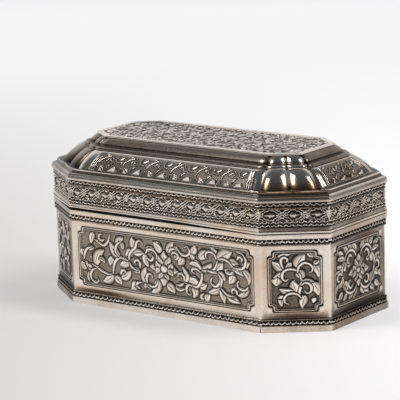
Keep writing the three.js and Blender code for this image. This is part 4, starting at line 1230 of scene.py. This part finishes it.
def ovoloPiece():
    columns = domeColumns(scroll["step"], 20, 12)
    climb = np.linalg.norm(np.diff([row[:2] for row in ovoloRows], axis=0), axis=1)
    climb = np.append(0, np.cumsum(climb))
    up = (climb - climb[3])[:, None]                 # the lobes start at the fourth row
    # painted shade, with tarnish: darker towards the ovolo's foot, most on the corner lobes
    low = 0.5 * np.exp(-(np.maximum(up, 0) / scroll["shadeReach"]) ** 2)
    marks = tarnishOf(ovoloRows, columns) + low * (0.2 + 0.8 * (columns["side"] % 2))
    browned = np.exp(-(np.maximum(up, 0) / scroll["brownReach"]) ** 2)
    amber = browned * scroll["browned"][columns["side"]]
    lift = np.zeros(marks.shape)
    for side, (leftPlain, rightPlain) in scroll["plainEnds"].items():
        own = np.where(columns["side"] == side)[0]
        start, end = leftPlain - sideLengths[side] / 2, sideLengths[side] / 2 - rightPlain
        x = np.broadcast_to(columns["local"][own], (len(up), len(own)))
        y = np.broadcast_to(up, x.shape)
        field = newField(x, y, scroll, side)
        reedWidth = scroll["reeds"] * scroll["reedPitch"]
        span = (end - start) - 2 * reedWidth
        count = max(2, int(round(span / scroll["pitch"])))
        stretch = span / count / scroll["pitch"]
        starts = [start + reedWidth + unit * span / count + 0.3 for unit in range(count)]
        for x0 in starts:
            drawWork(field, placed(scrollUnit, stretch, 1, x0), scroll["top"], scroll["top"],
                     scroll["width"])
        height, shine = field["height"], np.zeros(x.shape)
        for x0 in starts:
            for middle, half, tip, tall in scrollUnit["tongues"]:
                # a wedge that rises towards its tip, so that it faces out level: lift = rise * share up
                share = np.clip((y - 0.3) / tall, 0, 1)
                aside = np.abs(x - x0 - (middle + tip * share ** 1.5) * stretch)
                within = np.clip((half * (1 - share) ** 0.8 - aside) / scroll["edge"], 0, 1) * (y > 0.3)
                height = np.maximum(height, within * (0.15 + scroll["tongueRise"] * share))
                shine = np.maximum(shine, within)
        reedAt = np.minimum(x - start, end - x)
        rounded = np.abs(np.sin(np.pi * reedAt / scroll["reedPitch"]))
        reed = scroll["ground"] + scroll["reedTop"] * rounded
        field["height"] = np.where((reedAt > 0) & (reedAt < reedWidth), reed, height)
        # the field dies away into the plain lobe at its foot, its head and its two ends
        fade = np.clip(np.minimum(y - 0.25, up[-1] - 0.7 - y) / scroll["fade"], 0, 1)
        fade = fade * np.clip(reedAt / 0.3, 0, 1)
        lift[:, own] = field["height"] * fade
        dark = shadeAndPatinaOf(field, scroll["top"], scroll["step"], scroll["groundTone"]) * (1 - shine)
        marks[:, own] = marks[:, own] * (1 - fade) + dark * fade
    lift[:3] = 0
    domePiece("domeOvolo", ovoloRows, columns, marks, lift, amber=amber)


plainColumns = domeColumns(1.0, 18, 10)
atCorner = plainColumns["side"] % 2      # on the corners the foot's mouldings are evenly browned
domePiece("domeFoot", footRows, plainColumns,
          tarnishOf(footRows, plainColumns) * (1 - 0.6 * atCorner) + 0.20 * atCorner,
          amber=0.42 * (plainColumns["side"] == 1))
ovoloPiece()
domePiece("domeCrown", crownRows, plainColumns, tarnishOf(crownRows, plainColumns), ledge=dome["ledge"])
print("dome made")


# Top plate: plain bevelled border, and an all-over chased field inside it
topPlate = {"margin": 2.8, "bevel": 0.35, "sink": 0.28, "ground": -0.20, "top": 0.42, "step": 0.33,
            "width": 1.15, "fuller": 1.15, "spread": (0.62, 0.98), "groundTone": 0.46, "matting": 0.04,
            "mattingPitch": 0.6, "soften": 0.4, "seed": 90}
plateFoot, plateHead = levels("lid_top_plate")
_, crownOffset, _, crownInset, _ = crownRows[-1]


def plateBorder():
    # bevelled edge, level border with a faint dish, step down, and the underside of the sheet. Each
    # row is height, inset from the crown's edge, tarnish
    columns = makeColumns(1.5, arcSteps=0)
    top, margin, bevel = plateHead, topPlate["margin"], topPlate["bevel"]
    rows = np.array([(plateFoot, 0.15, 0.5), (plateFoot + 0.1, 0.0, 0.1), (top - bevel, 0.0, 0.02),
                     (top - bevel * 0.45, 0.06, 0.0), (top - 0.06, bevel * 0.5, 0.0), (top, bevel, 0.0),
                     (top - 0.03, margin * 0.5, 0.02), (top, margin - 0.25, 0.02),
                     (top - 0.05, margin - 0.08, 0.15),
                     (top - topPlate["sink"] - 0.3, margin + 0.1, 0.8), (plateFoot, margin + 0.3, 0.6)])
    grid = np.stack([np.column_stack([octagonRow(columns, crownOffset - inset, crownInset),
                                      np.full(len(columns["side"]), height)]) for height, inset, _ in rows])
    ringPiece("topPlateBorder", grid, rows[:, 2:], node="lid_top_plate", body="lid",
              finish="silverPlanishedRubbed", slot="chased_silver", crease=60)


def plateField():
    # rows across the plate; each is stretched to the octagon's own width at that place
    outer = cornersOf(crownOffset - topPlate["margin"] + 0.35, crownInset)
    halfWidth, halfLength = outer[4, 1], outer[2, 0]
    cutX, cutY = outer[4, 0], outer[3, 1]
    ys = np.linspace(-halfWidth, halfWidth, int(2 * halfWidth / topPlate["step"]))[:, None]
    reach = np.where(np.abs(ys) < cutY, halfLength,
                     halfLength + (cutX - halfLength) * (np.abs(ys) - cutY) / (halfWidth - cutY))
    x = np.linspace(-1, 1, int(2 * halfLength / topPlate["step"])) * reach
    y = np.broadcast_to(ys, x.shape)
    field = newField(x, y, topPlate, topPlate["seed"])
    # the same running foliage as on the front, drawn smaller, once in each quarter of the plate
    sx, sy = topPlate["spread"]
    quarters = [placed(frontWork, sx * towards * up, sy * up, towards * halfLength / 2, up * halfWidth / 2,
                       (panelFoot + panelHead) / 2) for up in (-1, 1) for towards in (-1, 1)]
    work = {key: sum([quarter[key] for quarter in quarters], []) for key in ("leaves", "stems")}
    drawWork(field, work, topPlate["top"], topPlate["top"], topPlate["width"], topPlate["fuller"])
    inset = np.minimum(np.minimum(halfLength - np.abs(x), halfWidth - np.abs(y)), insetOf(x, y, outer))
    field["height"] = np.where(inset < 0.5, topPlate["ground"], field["height"])
    patinaAndShade = shadeAndPatinaOf(field, topPlate["top"], topPlate["step"], topPlate["groundTone"])
    height = softened(field["height"], topPlate["soften"])
    grid = np.dstack([x + dome["crownShift"][0], y + dome["crownShift"][1],
                      np.minimum(plateHead - topPlate["sink"] + height, plateHead - 0.02)])
    slabPiece("topPlateField", grid, patinaAndShade,
              lambda points: np.column_stack([points[:, :2], np.full(len(points), plateFoot + 0.02)]),
              node="lid_top_plate", body="lid", finish="silverChasedOxidised", slot="chased_silver",
              crease=80)


plateBorder()
plateField()
print("top plate made")


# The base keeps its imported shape, in the dull metal of the inside
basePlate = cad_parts["base_plate"]
basePlate.data.materials.clear()
basePlate.data.materials.append(silver["silverUnpolishedInside"])

# Studio: pale floor, a tall soft lamp on each side of the camera, and a room that is white behind
# the box and dark above and on the camera's side
# the glow figures paint light and shade on the floor: darker near the box on its left and lighter on its
# right, darker still at the near left as the camera sees it
studio = {"floorSize": 14.0, "floorColour": "#E2E1E1", "glow": 0.48, "glowColour": "#F3F3F6",
          "glowBehind": 0.26, "nearSideShading": 0.75, "evenBehind": 0.45,
          "cameraLeftShaded": 0.20, "cameraRight": 1.00, "cameraFar": 0.84,
          "background": "#F1F2F3", "diffuseStrength": 0.32, "whiteRise": 1.25,
          "whiteToward": (-0.6, 0.8)}
lamps = {
    # each strip leans back: the turn from the camera and the height angle of its foot and its head
    "leftStrip": {"foot": (-60, 45), "head": (-100, 68), "reach": 1.55, "width": 0.36, "power": 6.6},
    "rightStrip": {"foot": (65, 44), "head": (105, 67), "reach": 1.55, "width": 0.32, "power": 5.6},
}


def seenDirectly(tree):
    # 1 for rays from the camera, or mirrored or passed on by metal and glass, else 0
    path = addNode(tree, "LightPath").outputs
    either = addNode(tree, "Math", {"operation": "MAXIMUM"}, None,
                     {0: path["Is Camera Ray"], 1: path["Is Glossy Ray"]})
    return addNode(tree, "Math", {"operation": "MAXIMUM"}, None,
                   {0: either, 1: path["Is Transmission Ray"]})


def makeFloor():
    # smooth white studio paper whose glow paints light and shade on it: a little brighter towards
    # whiteToward and the right, darker near the box on its left
    half = studio["floorSize"] / 2
    mesh = bpy.data.meshes.new("floor")
    mesh.from_pydata([(-half, -half, 0), (half, -half, 0), (half, half, 0), (-half, half, 0)], [],
                     [(0, 1, 2, 3)])
    floor = bpy.data.objects.new("floor", mesh)
    bpy.context.scene.collection.objects.link(floor)
    material = bpy.data.materials.new("paperSweepMatt")
    tree = clearedTree(material)
    paper = addNode(tree, "BsdfDiffuse", None, {"Color": toLinear(studio["floorColour"])})
    place = addNode(tree, "TexCoord").outputs["Object"]
    x, y = studio["whiteToward"]
    behind, aside = [addNode(tree, "VectorMath", {"operation": "DOT_PRODUCT"}, {1: toward}, {0: place})
                     for toward in ((x, y, 0.0), (y, -x, 0.0))]
    # what it reads, its range in metres, and what it gives at the range's two ends. The camera sees the
    # paper's glow a little lower than the metal does, lowest at the near left: a painted shade beside the
    # box
    far, right = studio["glowBehind"], 0.12 * studio["nearSideShading"]
    ranges = {"far": (behind, -0.2, 1.0, -0.2 * far, far), "across": (aside, -0.2, 0.2, -right, right),
              "near": (behind, 0.0, studio["evenBehind"], 1.0, 0.0),
              "leftRight": (aside, -0.22, 0.10, studio["cameraLeftShaded"], studio["cameraRight"]),
              "nearFar": (behind, 0.1, 0.7, 0.0, 1.0)}
    part = {}
    for key, (source, *ends) in ranges.items():
        settings = {"clamp": True, "interpolation_type": "SMOOTHSTEP" if key == "across" else "LINEAR"}
        values = dict(zip(("From Min", "From Max", "To Min", "To Max"), ends))
        part[key] = addNode(tree, "MapRange", settings, values, {"Value": source})
    sided = addNode(tree, "Math", {"operation": "MULTIPLY"}, None, {0: part["across"], 1: part["near"]})
    varied = addNode(tree, "Math", {"operation": "ADD"}, None, {0: part["far"], 1: sided})
    whole = addNode(tree, "Math", {"operation": "ADD"}, {1: studio["glow"]}, {0: varied})
    cameraShare = addNode(tree, "Mix", {"data_type": "FLOAT"}, {"B": studio["cameraFar"]},
                          {"Factor": part["nearFar"], "A": part["leftRight"]})
    isCamera = addNode(tree, "LightPath").outputs["Is Camera Ray"]
    seen = addNode(tree, "Mix", {"data_type": "FLOAT"}, None,
                   {"Factor": isCamera, "A": seenDirectly(tree), "B": cameraShare})
    strength = addNode(tree, "Math", {"operation": "MULTIPLY"}, None, {0: whole, 1: seen})
    glow = addNode(tree, "Emission", None, {"Color": toLinear(studio["glowColour"])},
                   {"Strength": strength})
    both = addNode(tree, "AddShader", None, None, {0: paper, 1: glow})
    addNode(tree, "OutputMaterial", None, None, {"Surface": both})
    mesh.materials.append(material)


def makeWorld():
    # for metal, rise = height - whiteRise * (how far the direction points behind the box): white
    # where that is low, then grey, then a dim bluish ceiling. The camera sees plain white
    world = bpy.data.worlds.new("studio")
    bpy.context.scene.world = world
    tree = clearedTree(world)
    direction = addNode(tree, "TexCoord").outputs["Generated"]
    x, y = studio["whiteToward"]
    lean = -studio["whiteRise"]
    rise = addNode(tree, "VectorMath", {"operation": "DOT_PRODUCT"}, {1: (lean * x, lean * y, 1.0)},
                   {0: direction})
    share = addNode(tree, "MapRange", {"clamp": True}, {"From Min": -0.5, "From Max": 1.0}, {"Value": rise})
    ramp = addNode(tree, "ValToRGB", None, None, {"Fac": share})
    setRamp(ramp, [(0.0, "#EEEFF1"), (0.33, "#E2E3E5"), (0.42, "#9DA1A5"), (0.56, "#63696F"),
                   (1.0, "#50565C")])
    room = addNode(tree, "Background", None, {"Strength": 1.0}, {"Color": ramp})
    plain, soft = [addNode(tree, "Background", None,
                           {"Color": toLinear(studio["background"]), "Strength": strength})
                   for strength in (1.0, studio["diffuseStrength"])]
    path = addNode(tree, "LightPath").outputs
    metal = addNode(tree, "MixShader", None, None, {0: path["Is Glossy Ray"], 1: soft, 2: room})
    through = addNode(tree, "Math", {"operation": "MAXIMUM"}, None,
                      {0: path["Is Camera Ray"], 1: path["Is Transmission Ray"]})
    mix = addNode(tree, "MixShader", None, None, {0: through, 1: metal, 2: plain})
    addNode(tree, "OutputWorld", None, None, {"Surface": mix})


def lampPoint(angles, reach):
    # a place at the given reach from the box, turned from the camera's side and raised
    turn, rise = np.radians([angles[0] - 90 + view["turn"], angles[1]])
    return Vector((reach * np.cos(rise) * np.cos(turn), reach * np.cos(rise) * np.sin(turn),
                   reach * np.sin(rise)))


def makeLamps():
    # a strip lies between its foot and its head and faces the box
    for name, lamp in lamps.items():
        foot, head = lampPoint(lamp["foot"], lamp["reach"]), lampPoint(lamp["head"], lamp["reach"])
        data = bpy.data.lights.new(name, "AREA")
        data.shape = "RECTANGLE"
        data.size, data.size_y = lamp["width"], (head - foot).length
        data.energy = lamp["power"]
        data.color = toLinear("#FFFCF8")[:3]
        thing = bpy.data.objects.new(name, data)
        along = (head - foot).normalized()
        place = (foot + head) / 2
        away = (place - along * place.dot(along)).normalized()
        across = along.cross(away)
        turned = Matrix([across, along, away]).transposed()
        thing.matrix_world = Matrix.Translation(place) @ turned.to_4x4()
        bpy.context.scene.collection.objects.link(thing)


makeFloor()
makeWorld()
makeLamps()
bpy.context.scene.view_settings.view_transform = "Standard"
print("studio made")
